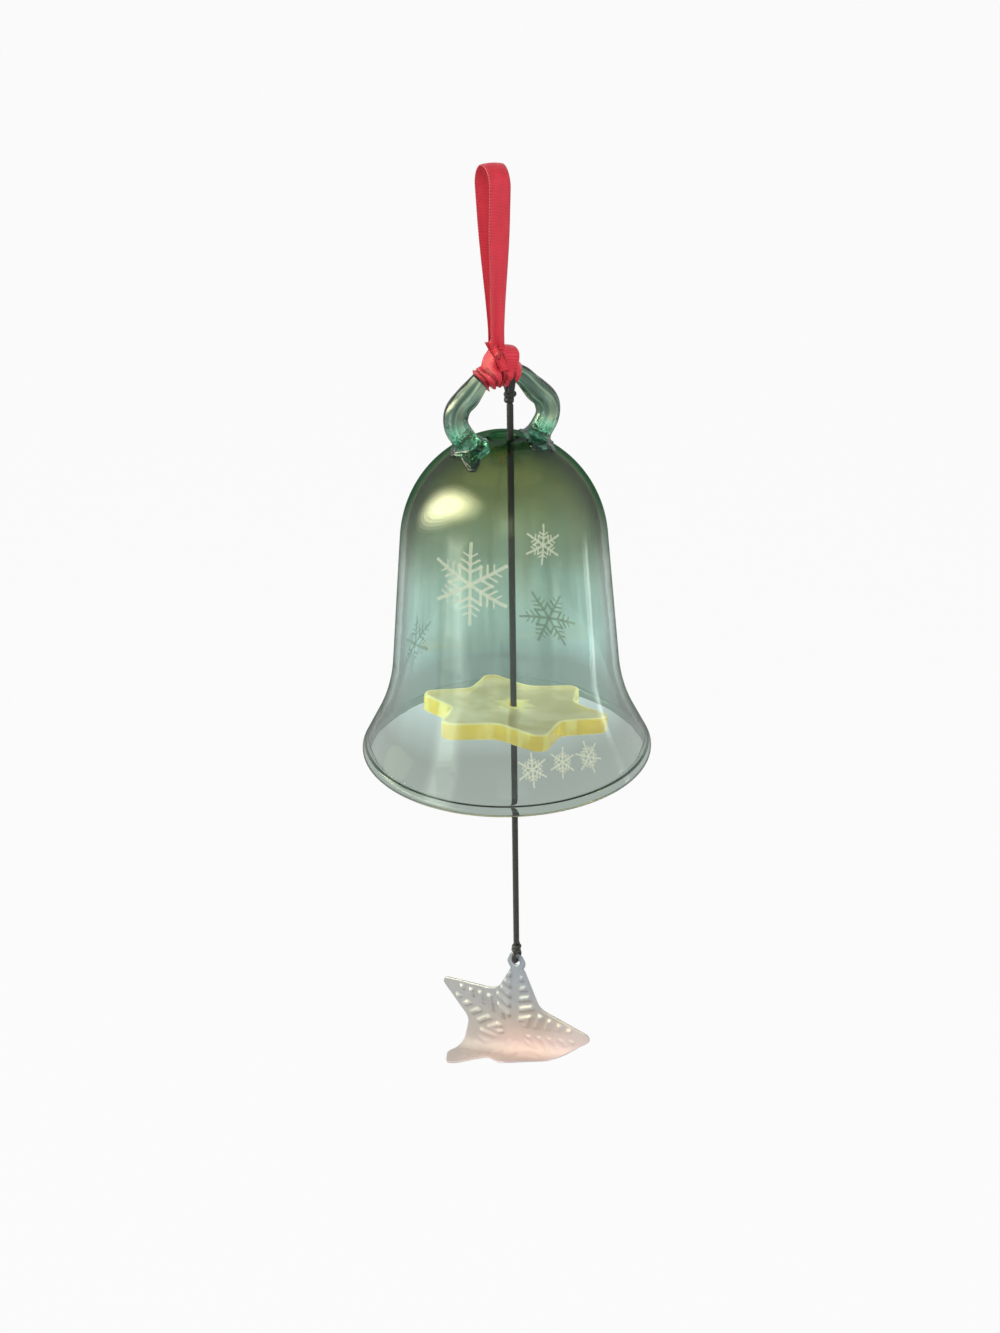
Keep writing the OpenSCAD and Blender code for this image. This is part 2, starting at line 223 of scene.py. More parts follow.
class Finish(Tree):
    """A material whose Principled shader is fed by nodes."""

    def __init__(self, name, **constants):
        self.material = bpy.data.materials.new(name)
        self.material.use_nodes = True
        super().__init__(self.material.node_tree)
        self.shader = self.tree.nodes["Principled BSDF"]
        for key, value in constants.items():
            self.shader.inputs[key.replace("_", " ")].default_value = value

    def drive(self, name, value):
        self.feed(self.shader.inputs[name], value)

    def end_in(self, name, value):
        self.feed(self.tree.nodes["Material Output"].inputs[name], value)

    def place(self):
        """Object coordinates, in millimetres."""
        return self.scaled(self.node("TexCoord").out("Object"), 1 / MM)

    def uv(self):
        return self.xyz(self.node("UVMap").out())

    def facing(self):
        """0 where the surface faces the eye, 1 where it is seen edge-on."""
        return self.node("LayerWeight", inputs={"Blend": 0.5}).out("Facing")

    def noise(self, vector, scale, detail=2.0, roughness=0.5):
        """Noise, 0 to 1; a scale of three numbers stretches it."""
        if isinstance(scale, tuple):
            vector = self.node("VectorMath", {"operation": "MULTIPLY"}, [vector, scale]).out()
            scale = 1.0
        sockets = {"Vector": vector, "Scale": scale, "Detail": detail, "Roughness": roughness}
        return self.node("TexNoise", inputs=sockets).out(0)

    def blend(self, share, first, second):
        sockets = {0: share, 6: first, 7: second}
        return self.node("Mix", {"data_type": "RGBA"}, sockets).out(2)

    def ramp(self, value, stops):
        """Colours along a value: a list of place and colour."""
        found = self.node("ValToRGB", inputs=[value])
        band = found.node.color_ramp
        while len(band.elements) < len(stops):
            band.elements.new(1.0)
        for element, (at, colour) in zip(band.elements, stops):
            element.position = at
            element.color = colour
        return found.out()

    def bump(self, height, strength, distance):
        sockets = {"Strength": strength, "Distance": distance, "Height": height}
        self.drive("Normal", self.node("Bump", inputs=sockets).out())

    def absorb(self, colour, density):
        """Tint that grows with the length of glass that the light goes through."""
        body = self.node("VolumeAbsorption", inputs={"Color": colour, "Density": density})
        self.end_in("Volume", body.out())

    def mix_in(self, share, other):
        """Shows another shader for a share of the light."""
        own = Value(self, self.shader.outputs[0])
        self.end_in("Surface", self.node("MixShader", inputs=[share, own, other]).out())

    def veil(self, share, colour):
        """Lets a share of the light pass straight through, tinted and without a reflection."""
        self.mix_in(share, self.node("BsdfTransparent", inputs=[colour]).out())


def srgb(red, green, blue):
    """A colour written as a screen shows it, 0 to 255, as linear light."""
    parts = [c / 255 for c in (red, green, blue)]
    linear = [c / 12.92 if c <= 0.04045 else ((c + 0.055) / 1.055) ** 2.4 for c in parts]
    return (*linear, 1.0)


# Finishes
def bell_glass_finish():
    """Blown glass: green at the crown, olive dome, teal waist, grey lip, with painted dark reflection where
    it is seen edge-on.
    """
    glass = Finish("bell_glass", Transmission_Weight=1.0, IOR=1.5, Roughness=0.0)
    place = glass.place()
    cloud = glass.noise(place, (0.05, 0.05, 0.03))
    x, y, z = glass.xyz(place)
    height = (z - RIM_Z) / BELL_H + cloud * 0.14 - 0.07
    tint = glass.ramp(height, [
        (0.0, srgb(166, 177, 168)),
        (0.14, srgb(157, 169, 160)),
        (0.28, srgb(196, 217, 211)),
        (0.46, srgb(220, 243, 238)),
        (0.60, srgb(203, 222, 211)),
        (0.74, srgb(158, 169, 142)),
        (0.88, srgb(172, 179, 137)),
        (1.0, srgb(146, 158, 112)),
    ])
    melt = glass.noise(place, (0.35, 0.35, 0.1))
    from_axis = (x * x + y * y) ** 0.5
    crown = 1 - (from_axis + melt * 6.0).step(8.0, 18.0)
    crown = crown * z.step(CROWN_Z - 8, CROWN_Z - 3)
    tint = glass.blend(crown, tint, glass.blend(melt.step(0.4, 0.6), srgb(70, 112, 74), srgb(128, 158, 108)))
    streak = glass.noise(place, (0.2, 0.2, 0.006)).step(0.48, 0.66)
    streak = streak * height.step(0.2, 0.4) * (1 - height.step(0.75, 0.95))
    glass.drive("Base Color", glass.blend(streak * 0.4, tint, srgb(132, 164, 148)))
    glass.absorb(srgb(118, 190, 172), 40.0)
    waves = glass.noise(place, (0.02, 0.02, 0.16), 1.0)
    glass.bump(waves, 0.12, 0.0006)
    # Painted dark reflection: the veil darkens the glass where it is seen edge-on, over a wider band on the
    # dome; at the crown it lets a share through tinted green.
    facing = glass.facing()
    edge = facing.step(0.56, 1.0) * 0.88
    edge = edge + (facing.step(0.15, 0.85) * 0.96 - edge) * height.step(0.62, 0.85)
    glass.veil(edge.maths("MAXIMUM", crown * 0.45), srgb(88, 142, 108))
    return glass.material


def loop_glass_finish():
    """Solid rod with streaks along it: smoky green above, emerald at the melted feet, with a painted
    highlight streak, painted shade and painted dark edges; UV goes round it.
    """
    glass = Finish("loop_glass", Transmission_Weight=1.0, IOR=1.5, Roughness=0.0)
    place = glass.place()
    across, over, _ = glass.uv()
    height = (glass.xyz(place)[2] - CROWN_Z) / (ROD_Z - CROWN_Z)
    streak = glass.noise(glass.vector(across * 2.6, over * 2.6, height * 0.6), 1.0)
    # The pale yellow stop is a painted highlight streak; the dark ends are painted shade.
    body = glass.ramp(streak, [
        (0.34, srgb(32, 54, 36)),
        (0.45, srgb(100, 132, 114)),
        (0.53, srgb(226, 232, 184)),
        (0.58, srgb(116, 154, 138)),
        (0.68, srgb(38, 64, 48)),
    ])
    melt = glass.noise(place, 0.45, 3.0, 0.6)
    foot = glass.ramp(melt, [
        (0.36, srgb(26, 100, 66)),
        (0.5, srgb(120, 214, 174)),
        (0.6, srgb(40, 124, 88)),
    ])
    tint = glass.blend((height + streak * 0.4 - 0.1).step(0.12, 0.42), foot, body)
    # Painted shade: a darker band part way up the rod, along the streaks.
    painted_shade_band = height.step(0.16, 0.34) * (1 - height.step(0.42, 0.66)) * streak.step(0.38, 0.55)
    glass.drive("Base Color", glass.blend(painted_shade_band * 0.7, tint, srgb(24, 66, 44)))
    lumps = melt * (1 - height.step(0.1, 0.5)) + glass.noise(place, 0.2, 1.0) * 0.35
    glass.bump(lumps, 0.5, 0.0012)
    # Painted shade along the rod's edges, where it is seen edge-on.
    glass.veil(glass.facing().step(0.3, 1.0) * 0.75, srgb(24, 52, 38))
    return glass.material


def frost_finish(name, glow, cover):
    """Etched frost: fine grain with the glass showing through; cover is how dense the grain lies and glow
    how much painted light it gives off on its own.
    """
    # Painted light: the frost glows a little though it is no lamp.
    frost = Finish(name, Roughness=0.7, Emission_Strength=glow)
    grain = frost.noise(frost.place(), 7.0, 4.0, 0.7)
    colour = frost.blend(grain, srgb(218, 224, 190), srgb(244, 246, 222))
    frost.drive("Base Color", colour)
    frost.drive("Emission Color", colour)
    frost.drive("Alpha", grain * cover + 0.04)
    return frost.material


def star_glass_finish():
    """Cast amber: cloudy faces and clear sides, all glowing with painted light that is brighter on the
    sides, with painted highlight patches on the sides; u marks the sides and v the painted highlight lines
    along their edges.
    """
    # Emission paints light: the star glows though it is no lamp.
    amber = Finish("star_glass", Transmission_Weight=0.6, IOR=1.49, Emission_Strength=0.5)
    place = amber.place()
    edge, line, _ = amber.uv()
    cloud = amber.noise(place, 0.12)
    # Painted highlight patches, lighter on the sides.
    painted_glint_patch = amber.noise(place, (0.28, 0.28, 0.02), 1.0).step(0.46, 0.58)
    face = amber.blend(cloud.step(0.35, 0.65), srgb(240, 224, 178), srgb(255, 244, 222))
    rim = amber.blend(painted_glint_patch, srgb(252, 220, 98), srgb(255, 243, 170))
    # v paints pale highlight lines along the edges.
    amber.drive("Base Color", amber.blend(line * 0.7, amber.blend(edge, face, rim), srgb(255, 253, 226)))
    # Painted glow: dimmer on the faces, brighter and patchy on the sides.
    glow = amber.blend(cloud.step(0.35, 0.65), srgb(132, 116, 82), srgb(168, 152, 116))
    glow = amber.blend(edge, glow, amber.blend(painted_glint_patch, srgb(228, 196, 86), srgb(254, 234, 144)))
    amber.drive("Emission Color", amber.blend(line * 0.7, glow, srgb(255, 250, 206)))
    amber.drive("Roughness", amber.noise(place, 0.8, 3.0) * 0.14 + 0.05)
    amber.bump(amber.noise(place, 0.35), 0.15, 0.0004)
    return amber.material


def satin_finish():
    """Red satin: u runs across the ribbon, v along it in millimetres; the fold attribute holds painted shade
    for the knot's creases.
    """
    satin = Finish("red_satin", Sheen_Weight=0.3, Sheen_Roughness=0.4, IOR=1.45)
    satin.shader.inputs["Sheen Tint"].default_value = srgb(255, 150, 150)
    across, along, _ = satin.uv()
    edge = (across - 0.5).maths("ABSOLUTE")
    selvedge = edge.step(0.43, 0.46)
    ribs = along.wave(0.33)
    floats = (across * 19.0 + along * 1.4).wave(1.0)
    loops = along.wave(0.66)
    crease = satin.node("Attribute", {"attribute_name": "fold"}).out("Fac")
    patch = satin.noise(satin.place(), (0.6, 0.6, 0.25), 3.0)
    cloth = satin.blend(patch, srgb(202, 10, 40), srgb(238, 46, 68))
    cloth = satin.blend(ribs * 0.25, cloth, srgb(255, 110, 122))
    trim = satin.blend(loops, srgb(160, 6, 32), srgb(240, 76, 94))
    cloth = satin.blend(selvedge, cloth, trim)
    # Painted shade: darker red where the fold attribute is set.
    satin.drive("Base Color", satin.blend(crease, cloth, srgb(132, 0, 24)))
    satin.drive("Roughness", patch * 0.2 + ribs * 0.08 + 0.3)
    weave = ribs * 0.6 + floats * 0.4 + selvedge * (loops - 0.3)
    satin.bump(weave, 0.5, 0.00012)
    return satin.material


def cord_finish():
    """Black braid: its strands catch the light a little."""
    braid = Finish("black_braid", Sheen_Weight=0.15, Sheen_Roughness=0.5)
    lint = braid.noise(braid.place(), 5.0, 3.0, 0.6)
    braid.drive("Base Color", braid.blend(lint.step(0.4, 0.75), srgb(16, 16, 18), srgb(64, 62, 60)))
    braid.drive("Roughness", lint * 0.3 + 0.38)
    return braid.material


def sail_metal_finish():
    """Thin sheet: bluish at its top, warm along the bend, greyer at its left; v falls towards the bend."""
    metal = Finish("sail_metal")
    across, up, _ = metal.uv()
    place = metal.place()
    scuff = metal.noise(place, (0.9, 0.9, 0.4), 3.0, 0.55)
    patch = metal.noise(place, 0.12)
    tone = metal.ramp(up + scuff * 0.08 + patch * 0.16 - 0.12, [
        (0.0, srgb(234, 210, 207)),
        (0.40, srgb(231, 209, 205)),
        (0.56, srgb(192, 186, 178)),
        (0.72, srgb(170, 173, 174)),
        (1.0, srgb(150, 160, 170)),
    ])
    left = 1 - (across + patch * 0.1).step(0.3, 0.6)
    tone = metal.blend(left * 0.6, tone, srgb(178, 177, 174))
    metal.drive("Base Color", metal.blend(scuff * 0.2, tone, srgb(224, 221, 218)))
    flat = up.step(0.35, 0.6)
    metal.drive("Metallic", flat * 0.5 + 0.12)
    metal.drive("Roughness", scuff * 0.2 - flat * 0.24 + 0.62)
    return metal.material


# Mesh helpers
def make_piece(name, points, faces, finish, uvs=None):
    """A mesh object at the origin from points in millimetres, with one UV pair for each point."""
    mesh = bpy.data.meshes.new(name)
    mesh.from_pydata([Vector(p) * MM for p in points], [], faces)
    mesh.polygons.foreach_set("use_smooth", [True] * len(faces))
    if uvs:
        layer = mesh.uv_layers.new(name="UVMap")
        layer.data.foreach_set("uv", [c for face in faces for v in face for c in uvs[v]])
    mesh.materials.append(finish)
    mesh.update()
    piece = bpy.data.objects.new(name, mesh)
    bpy.context.scene.collection.objects.link(piece)
    return piece


def grid_faces(rows, cols, wrap_cols=False, wrap_rows=False):
    """Quads of a grid of points kept row by row."""
    faces = []
    for i in range(rows if wrap_rows else rows - 1):
        for j in range(cols if wrap_cols else cols - 1):
            i1 = (i + 1) % rows
            j1 = (j + 1) % cols
            faces.append((i * cols + j, i * cols + j1, i1 * cols + j1, i1 * cols + j))
    return faces


def face_outwards(piece):
    """Merges doubles and turns the faces of a closed shape outwards."""
    work = bmesh.new()
    work.from_mesh(piece.data)
    bmesh.ops.remove_doubles(work, verts=work.verts, dist=1e-7)
    bmesh.ops.recalc_face_normals(work, faces=work.faces)
    work.to_mesh(piece.data)
    work.free()
    return piece


def place_piece(piece, body, slot, *nodes):
    """Rides a piece on a body and lets it stand for CAD nodes; slot is not used."""
    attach(piece, body)
    if nodes:
        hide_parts(*nodes)
    return piece


def polar(r, a):
    """A flat point at a radius and an angle."""
    return Vector((r * math.cos(a), r * math.sin(a)))


def arc(centre, r, a0, a1, steps):
    return [centre + polar(r, a0 + (a1 - a0) * i / steps) for i in range(steps + 1)]


def ease(t):
    """0 below 0 and 1 above 1, eased between them."""
    t = min(max(t, 0.0), 1.0)
    return t * t * (3 - 2 * t)


def between(ends, share):
    return ends[0] + (ends[1] - ends[0]) * share


def pairs_round(items):
    """Each item with the next, and the last with the first."""
    return list(zip(items, items[1:] + items[:1]))


def resample(points, step):
    """Evenly spaced points along a path."""
    lengths = [0.0]
    for a, b in zip(points, points[1:]):
        lengths.append(lengths[-1] + (b - a).length)
    count = max(2, round(lengths[-1] / step))
    out = []
    k = 0
    for i in range(count + 1):
        at = lengths[-1] * i / count
        while k < len(points) - 2 and lengths[k + 1] < at:
            k += 1
        span = max(lengths[k + 1] - lengths[k], 1e-9)
        out.append(points[k].lerp(points[k + 1], min(1.0, (at - lengths[k]) / span)))
    return out


def flow(a, b, lead, trail, t):
    """A point of the smooth curve that leaves a along lead and reaches b along trail."""
    point = a * (2 * t ** 3 - 3 * t ** 2 + 1) + lead * (t ** 3 - 2 * t ** 2 + t)
    return point + b * (3 * t ** 2 - 2 * t ** 3) + trail * (t ** 3 - t ** 2)


def smooth_path(points, closed, per_span):
    """A flowing curve through given points."""
    count = len(points)
    out = []
    for k in range(count if closed else count - 1):
        a, b = points[k], points[(k + 1) % count]
        before = points[k - 1] if closed or k > 0 else a
        after = points[(k + 2) % count] if closed or k + 2 < count else b
        for i in range(per_span):
            out.append(flow(a, b, (b - before) * 0.5, (after - a) * 0.5, i / per_span))
    return out if closed else out + [points[-1]]


def tangent(points, i, closed=False):
    """The way a path runs at one of its points."""
    count = len(points)
    if closed:
        return (points[(i + 1) % count] - points[i - 1]).normalized()
    return (points[min(i + 1, count - 1)] - points[max(i - 1, 0)]).normalized()


def closed_sheet(front, size, rim):
    """Faces of a thin closed shape: its front, the same faces on the points behind, and its rim."""
    back = [tuple(size + v for v in reversed(f)) for f in front]
    return front + back + [(a, b, size + b, size + a) for a, b in rim]


def two_faces(rows, cols):
    """Faces of a strip whose points are kept row by row, with as many points again behind them."""
    rim = list(range(cols)) + [i * cols + cols - 1 for i in range(1, rows)]
    rim += [(rows - 1) * cols + k for k in range(cols - 2, -1, -1)]
    rim += [i * cols for i in range(rows - 2, 0, -1)]
    return closed_sheet(grid_faces(rows, cols), rows * cols, pairs_round(rim))


# Glass rod of the loop, which the cord and the ribbon are tied round
ROD_RADII = (2.15, 2.95)
ROD_THIN_X, ROD_TAPER = 3.5, 6


def rod_radius(x):
    """Radius of the rod, which was drawn thinner towards the top of its arch."""
    return between(ROD_RADII, ease((abs(x) - ROD_THIN_X) / ROD_TAPER))


def rod_at(bend):
    """A place on the arch of the rod: the way outwards, the rod's radius and its middle."""
    outward = Vector((math.sin(bend), 0, math.cos(bend)))
    r = rod_radius(ARCH_R * math.sin(bend))
    return outward, r, UP * (ROD_Z - ARCH_R) + outward * (ARCH_R + ROD_R - r)


# Braided cord
BRAID_STRANDS = 6
BRAID_PITCH = 0.9
BRAID_DEPTH = 0.3
BRAID_STEP = 0.15
BRAID_SIDES = 24
BRAID_END = 0.06


def braid_height(turn, along):
    """Relief of a braid, 0 to 1: two sets of strands cross at a slant."""
    rightward = abs(math.cos(BRAID_STRANDS * turn / 2 + math.pi * along / BRAID_PITCH))
    leftward = abs(math.cos(BRAID_STRANDS * turn / 2 - math.pi * along / BRAID_PITCH))
    return max(rightward, leftward)


def braided(name, route, radius, finish, closed=False):
    """Braided cord along a route, with round ends unless it is closed."""
    path = resample(route, BRAID_STEP)
    if closed:
        path.pop()
    side = tangent(path, 0, closed).orthogonal().normalized()
    points = []
    for i, at in enumerate(path):
        ahead = tangent(path, i, closed)
        side = (side - ahead * side.dot(ahead)).normalized()
        other = ahead.cross(side)
        to_end = min(1.0, min(i, len(path) - 1 - i) * BRAID_STEP / radius)
        taper = 1.0 if closed else math.sqrt(max(BRAID_END, 1 - (1 - to_end) ** 2))
        for k in range(BRAID_SIDES):
            turn = TURN * k / BRAID_SIDES
            reach = radius * taper * (1 - BRAID_DEPTH * (1 - braid_height(turn, i * BRAID_STEP)))
            points.append(at + (side * math.cos(turn) + other * math.sin(turn)) * reach)
    faces = grid_faces(len(path), BRAID_SIDES, wrap_cols=True, wrap_rows=closed)
    if not closed:
        last = (len(path) - 1) * BRAID_SIDES
        faces.append(tuple(reversed(range(BRAID_SIDES))))
        faces.append(tuple(last + k for k in range(BRAID_SIDES)))
    return face_outwards(make_piece(name, points, faces, finish))


# Cords: the same route points as the part's source
def hung(z):
    """A place on the hanging line."""
    return Vector((HANG_X, 0, z))


UPPER_ROUTE = [hung(TOP_KNOT.z - TOP_KNOT_R - RUN_GAP), hung(STOP_KNOT.z + STOP_KNOT_R + RUN_GAP)]
LOWER_ROUTE = [hung(STOP_KNOT.z - STOP_KNOT_R - RUN_GAP), hung(SAIL_KNOT.z + SAIL_KNOT_R + RUN_GAP)]
KNOT_REACH = 0.8
COIL_WAIST, COIL_SLANT, COIL_PHASE = 0.55, 0.25, 0.6
PATH_STEP = 3.0
COIL_STEPS = 48
TOP_KNOT_UP, TOP_KNOT_MORE = 0.9, 0.4
TOP_STRAND_R, STOP_STRAND_R, SAIL_STRAND_R = 0.78, 0.8, 0.66
TOP_TURNS, STOP_TURNS, SAIL_TURNS = 1.8, 2.4, 2.2
NOOSE_STEPS = 24
NOOSE_FROM, NOOSE_SWEEP = -40, 260
NOOSE_FOOT_UP, NOOSE_FOOT_HALF = 0.8, 0.3


def hanging_cord(name, route, body, finish, node):
    """A straight stretch of cord whose ends run a little way into its knots."""
    down = (route[1] - route[0]).normalized()
    ends = [route[0] - down * KNOT_REACH, route[1] + down * KNOT_REACH]
    piece = place_piece(braided(name, ends, CORD_R, finish), body, "cord", node)
    return piece, ends


def declare_cord(ends):
    """Works out points along a straight piece of cord between two knots, and its length; nothing is kept."""
    path = [tuple(p * MM) for p in resample(ends, PATH_STEP)]
    (ends[1] - ends[0]).length * MM


def barrel_knot(name, middle, radius, strand_r, turns, finish):
    """A knot drawn tight: the cord winds round itself between its two ends."""
    coil_r = radius - strand_r
    half = radius - strand_r * 0.6
    end = UP * (half + strand_r)
    route = [end]
    for i in range(COIL_STEPS + 1):
        share = i / COIL_STEPS
        turn = TURN * turns * share
        swell = polar(coil_r * (COIL_WAIST + (1 - COIL_WAIST) * math.sin(math.pi * share)), turn)
        slant = COIL_SLANT * radius * math.cos(turn + COIL_PHASE)
        route.append(Vector((swell.x, swell.y, half * (1 - 2 * share) + slant)))
    route.append(-end)
    return braided(name, [middle + p for p in route], strand_r, finish)


def ring_route(middle, out, up, radius):
    """A round route in the plane of two directions."""
    spots = [polar(radius, TURN * i / COIL_STEPS) for i in range(COIL_STEPS + 1)]
    return [middle + out * s.x + up * s.y for s in spots]


def make_noose(finish):
    """Noose drawn round the glass rod under the ribbon's knot, its two strands meeting at the knot below."""
    outward, rod_r, middle = rod_at(math.asin(HANG_X / ARCH_R))
    ring_r = rod_r + TIE_GAP + CORD_R
    ring = []
    for i in range(NOOSE_STEPS + 1):
        turn = math.radians(NOOSE_FROM + NOOSE_SWEEP * i / NOOSE_STEPS)
        ring.append(middle + (BACK * math.cos(turn) + outward * math.sin(turn)) * ring_r)
    foot = TOP_KNOT + UP * NOOSE_FOOT_UP
    half = BACK * NOOSE_FOOT_HALF
    route = smooth_path([foot + half, *ring, foot - half], True, 4)
    piece = braided("cord_noose_braid", route + route[:1], CORD_R, finish, closed=True)
    return place_piece(piece, "bell", "cord", "cord_noose")


def make_sail_tie(finish):
    """Knot above the sail and the small ring of cord through its hole."""
    out = Vector((-math.sin(SAIL_TURN), math.cos(SAIL_TURN), 0))
    route = ring_route(SAIL_HOLD, out, UP, SAIL_RING_R)
    ring = braided("sail_cord_ring", route, SAIL_CORD_R, finish, closed=True)
    knot = barrel_knot("sail_cord_knot", SAIL_KNOT, SAIL_KNOT_R, SAIL_STRAND_R, SAIL_TURNS, finish)
    place_piece(ring, "sail_tie", "cord")
    place_piece(knot, "sail_tie", "cord", "sail_knot")
    return [ring, knot]


def make_cords(finish):
    """Both hanging cords with their knots, and the noose that carries them."""
    upper, upper_ends = hanging_cord("cord_upper_braid", UPPER_ROUTE, "clapper_line", finish, "cord_upper")
    lower, lower_ends = hanging_cord("cord_lower_braid", LOWER_ROUTE, "tail", finish, "cord_lower")
    top_at = TOP_KNOT + UP * TOP_KNOT_UP
    top_r = TOP_KNOT_R + TOP_KNOT_MORE
    top = barrel_knot("cord_top_knot_braid", top_at, top_r, TOP_STRAND_R, TOP_TURNS, finish)
    stop = barrel_knot("stopper_knot_braid", STOP_KNOT, STOP_KNOT_R, STOP_STRAND_R, STOP_TURNS, finish)
    place_piece(top, "top_tie", "cord", "cord_top_knot")
    place_piece(stop, "star_seat", "cord", "stopper_knot")
    tie = make_sail_tie(finish)
    declare_cord(upper_ends)
    declare_cord(lower_ends)
    make_noose(finish)


# Ribbon loop
RIBBON_SKIN = 0.3
RIBBON_COLS, BIGHT_STEPS = 17, 24
RIBBON_STEP, RIBBON_PATH_STEP = 0.5, 2.5
RIBBON_X = (-1.6, -1.2)
NECK_GAP, NECK_W, NECK_IN = 0.75, 3.4, 1.2
GATHER_Z, TWIST_Z = -12, -14
GATHER_DEPTH, CUP_DEPTH = 0.3, 0.25
GATHER_FOLDS, GATHER_PHASE = 1.5, 0.4


def ribbon_route():
    """Middle of the ribbon from the neck up the far side, over the hook and down the near side."""
    skin_r = BIGHT_R + RIBBON_T / 2
    over = arc(Vector((0, -BIGHT_R)), skin_r, 0, math.pi, BIGHT_STEPS)
    flat = [Vector((NECK_GAP, SWING.z - NECK_IN)), Vector((NECK_GAP, NECK_TOP.z))]
    flat += over
    flat += [Vector((-NECK_GAP, NECK_TOP.z)), Vector((-NECK_GAP, SWING.z - NECK_IN))]
    route = []
    for p in flat:
        route.append(Vector((between(RIBBON_X, ease(p.y / SWING.z)), p.x, p.y)))
    return route


def make_ribbon(finish):
    """One strip: flat and slightly cupped above, gathered into soft folds at the neck."""
    route = resample(ribbon_route(), RIBBON_STEP)
    points = []
    spots = []
    for skin in (0.5, -0.5):
        for i, at in enumerate(route):
            out = RIGHT.cross(tangent(route, i)).normalized()
            low = ease((GATHER_Z - at.z) / (GATHER_Z - NECK_TOP.z))
            width = between((RIBBON_W, NECK_W), low)
            for k in range(RIBBON_COLS):
                u = k / (RIBBON_COLS - 1) - 0.5
                gather = low * GATHER_DEPTH * math.cos(TURN * GATHER_FOLDS * u + GATHER_PHASE)
                fold = gather + CUP_DEPTH * (u * u * 4 - 0.3) * (1 - low)
                points.append(at + RIGHT * (u * width) + out * (fold + skin * RIBBON_SKIN))
                spots.append((u + 0.5, i * RIBBON_STEP))
    piece = make_piece("ribbon_hanger", points, two_faces(len(route), RIBBON_COLS), finish, spots)
    return face_outwards(piece), route


def place_ribbon(piece, route, with_pieces):
    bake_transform(piece)
    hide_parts("ribbon_loop", "ribbon_neck")
    path = [tuple(p * MM) for p in resample(route, RIBBON_PATH_STEP)]
    length = sum((b - a).length for a, b in zip(route, route[1:])) * MM


# Ribbon knot: a gathered body round the rod, and a raised fold across it, measured from the rod's middle
RIDGE_COLS = 19
RIDGE_W, RIDGE_LEAN = (1.9, 2.0), (0.6, 0.5)
RIDGE_PLEATS, RIDGE_PLEAT_DEPTH = 0.5, 0.12
RIDGE_CROWN, RIDGE_SKIN = 0.5, 0.35
RIDGE_FALL = 3
RIDGE = [
    (-3.2, 0.2, 8.2), (-3.0, -0.6, 7.4), (-2.7, -1.7, 6.4),
    (-2.2, -2.9, 5.2), (-1.6, -3.9, 3.7), (-1.3, -4.6, 2.0),
]


def knot_ridge(finish):
    """The raised fold: a narrow band of ribbon along the ridge's points, with one soft pleat."""
    path = smooth_path([Vector(p) + UP * ROD_Z for p in RIDGE], False, 6)
    points = []
    spots = []
    for skin in (0.5, -0.5):
        run = 0.0
        for i, at in enumerate(path):
            run += (at - path[i - 1]).length if i else 0.0
            ahead = tangent(path, i)
            low = ease((ROD_Z + RIDGE_FALL - at.z) / (2 * RIDGE_FALL))
            tilt = between(RIDGE_LEAN, low)
            across = Vector((math.cos(tilt), 0, math.sin(tilt)))
            across = (across - ahead * across.dot(ahead)).normalized()
            out = ahead.cross(across).normalized()
            wide = between(RIDGE_W, low)
            gather = RIDGE_PLEAT_DEPTH * (0.25 + 0.75 * low)
            for k in range(RIDGE_COLS):
                u = k / (RIDGE_COLS - 1) - 0.5
                fold = gather * math.cos(TURN * RIDGE_PLEATS * u + 0.9 * math.sin(0.7 * run))
                arch = RIDGE_CROWN * (1 - 4 * u * u) - 0.5 * abs(2 * u) ** 8
                points.append(at + across * (u * wide) - out * (fold + arch + skin * RIDGE_SKIN))
                spots.append((u + 0.5, run))
    faces = two_faces(len(path), RIDGE_COLS)
    return face_outwards(make_piece("ribbon_knot_ridge", points, faces, finish, spots))


KNOT_ENDS = (-0.62, 0.41)
KNOT_GROOVE = (-0.05, -0.05)
KNOT_ROWS, KNOT_COLS = 84, 132
KNOT_GAP, KNOT_LEAST = 0.08, 0.15


def peak(value, middle, half):
    """1 at the middle, eased to 0 at half a width to either side."""
    return ease(1 - abs(value - middle) / half)


def groove(down):
    """Where the two bands of the knot meet, as a bend of the rod; down is the turn from the top."""
    return KNOT_GROOVE[0] + KNOT_GROOVE[1] * down


def knot_across(bend, turn):
    """Place across the band that a spot of the knot belongs to, 0 to 1."""
    left, right = KNOT_ENDS
    seam = groove(min(turn, TURN - turn))
    return (bend - seam) / (right - seam) if bend > seam else (bend - left) / (seam - left)


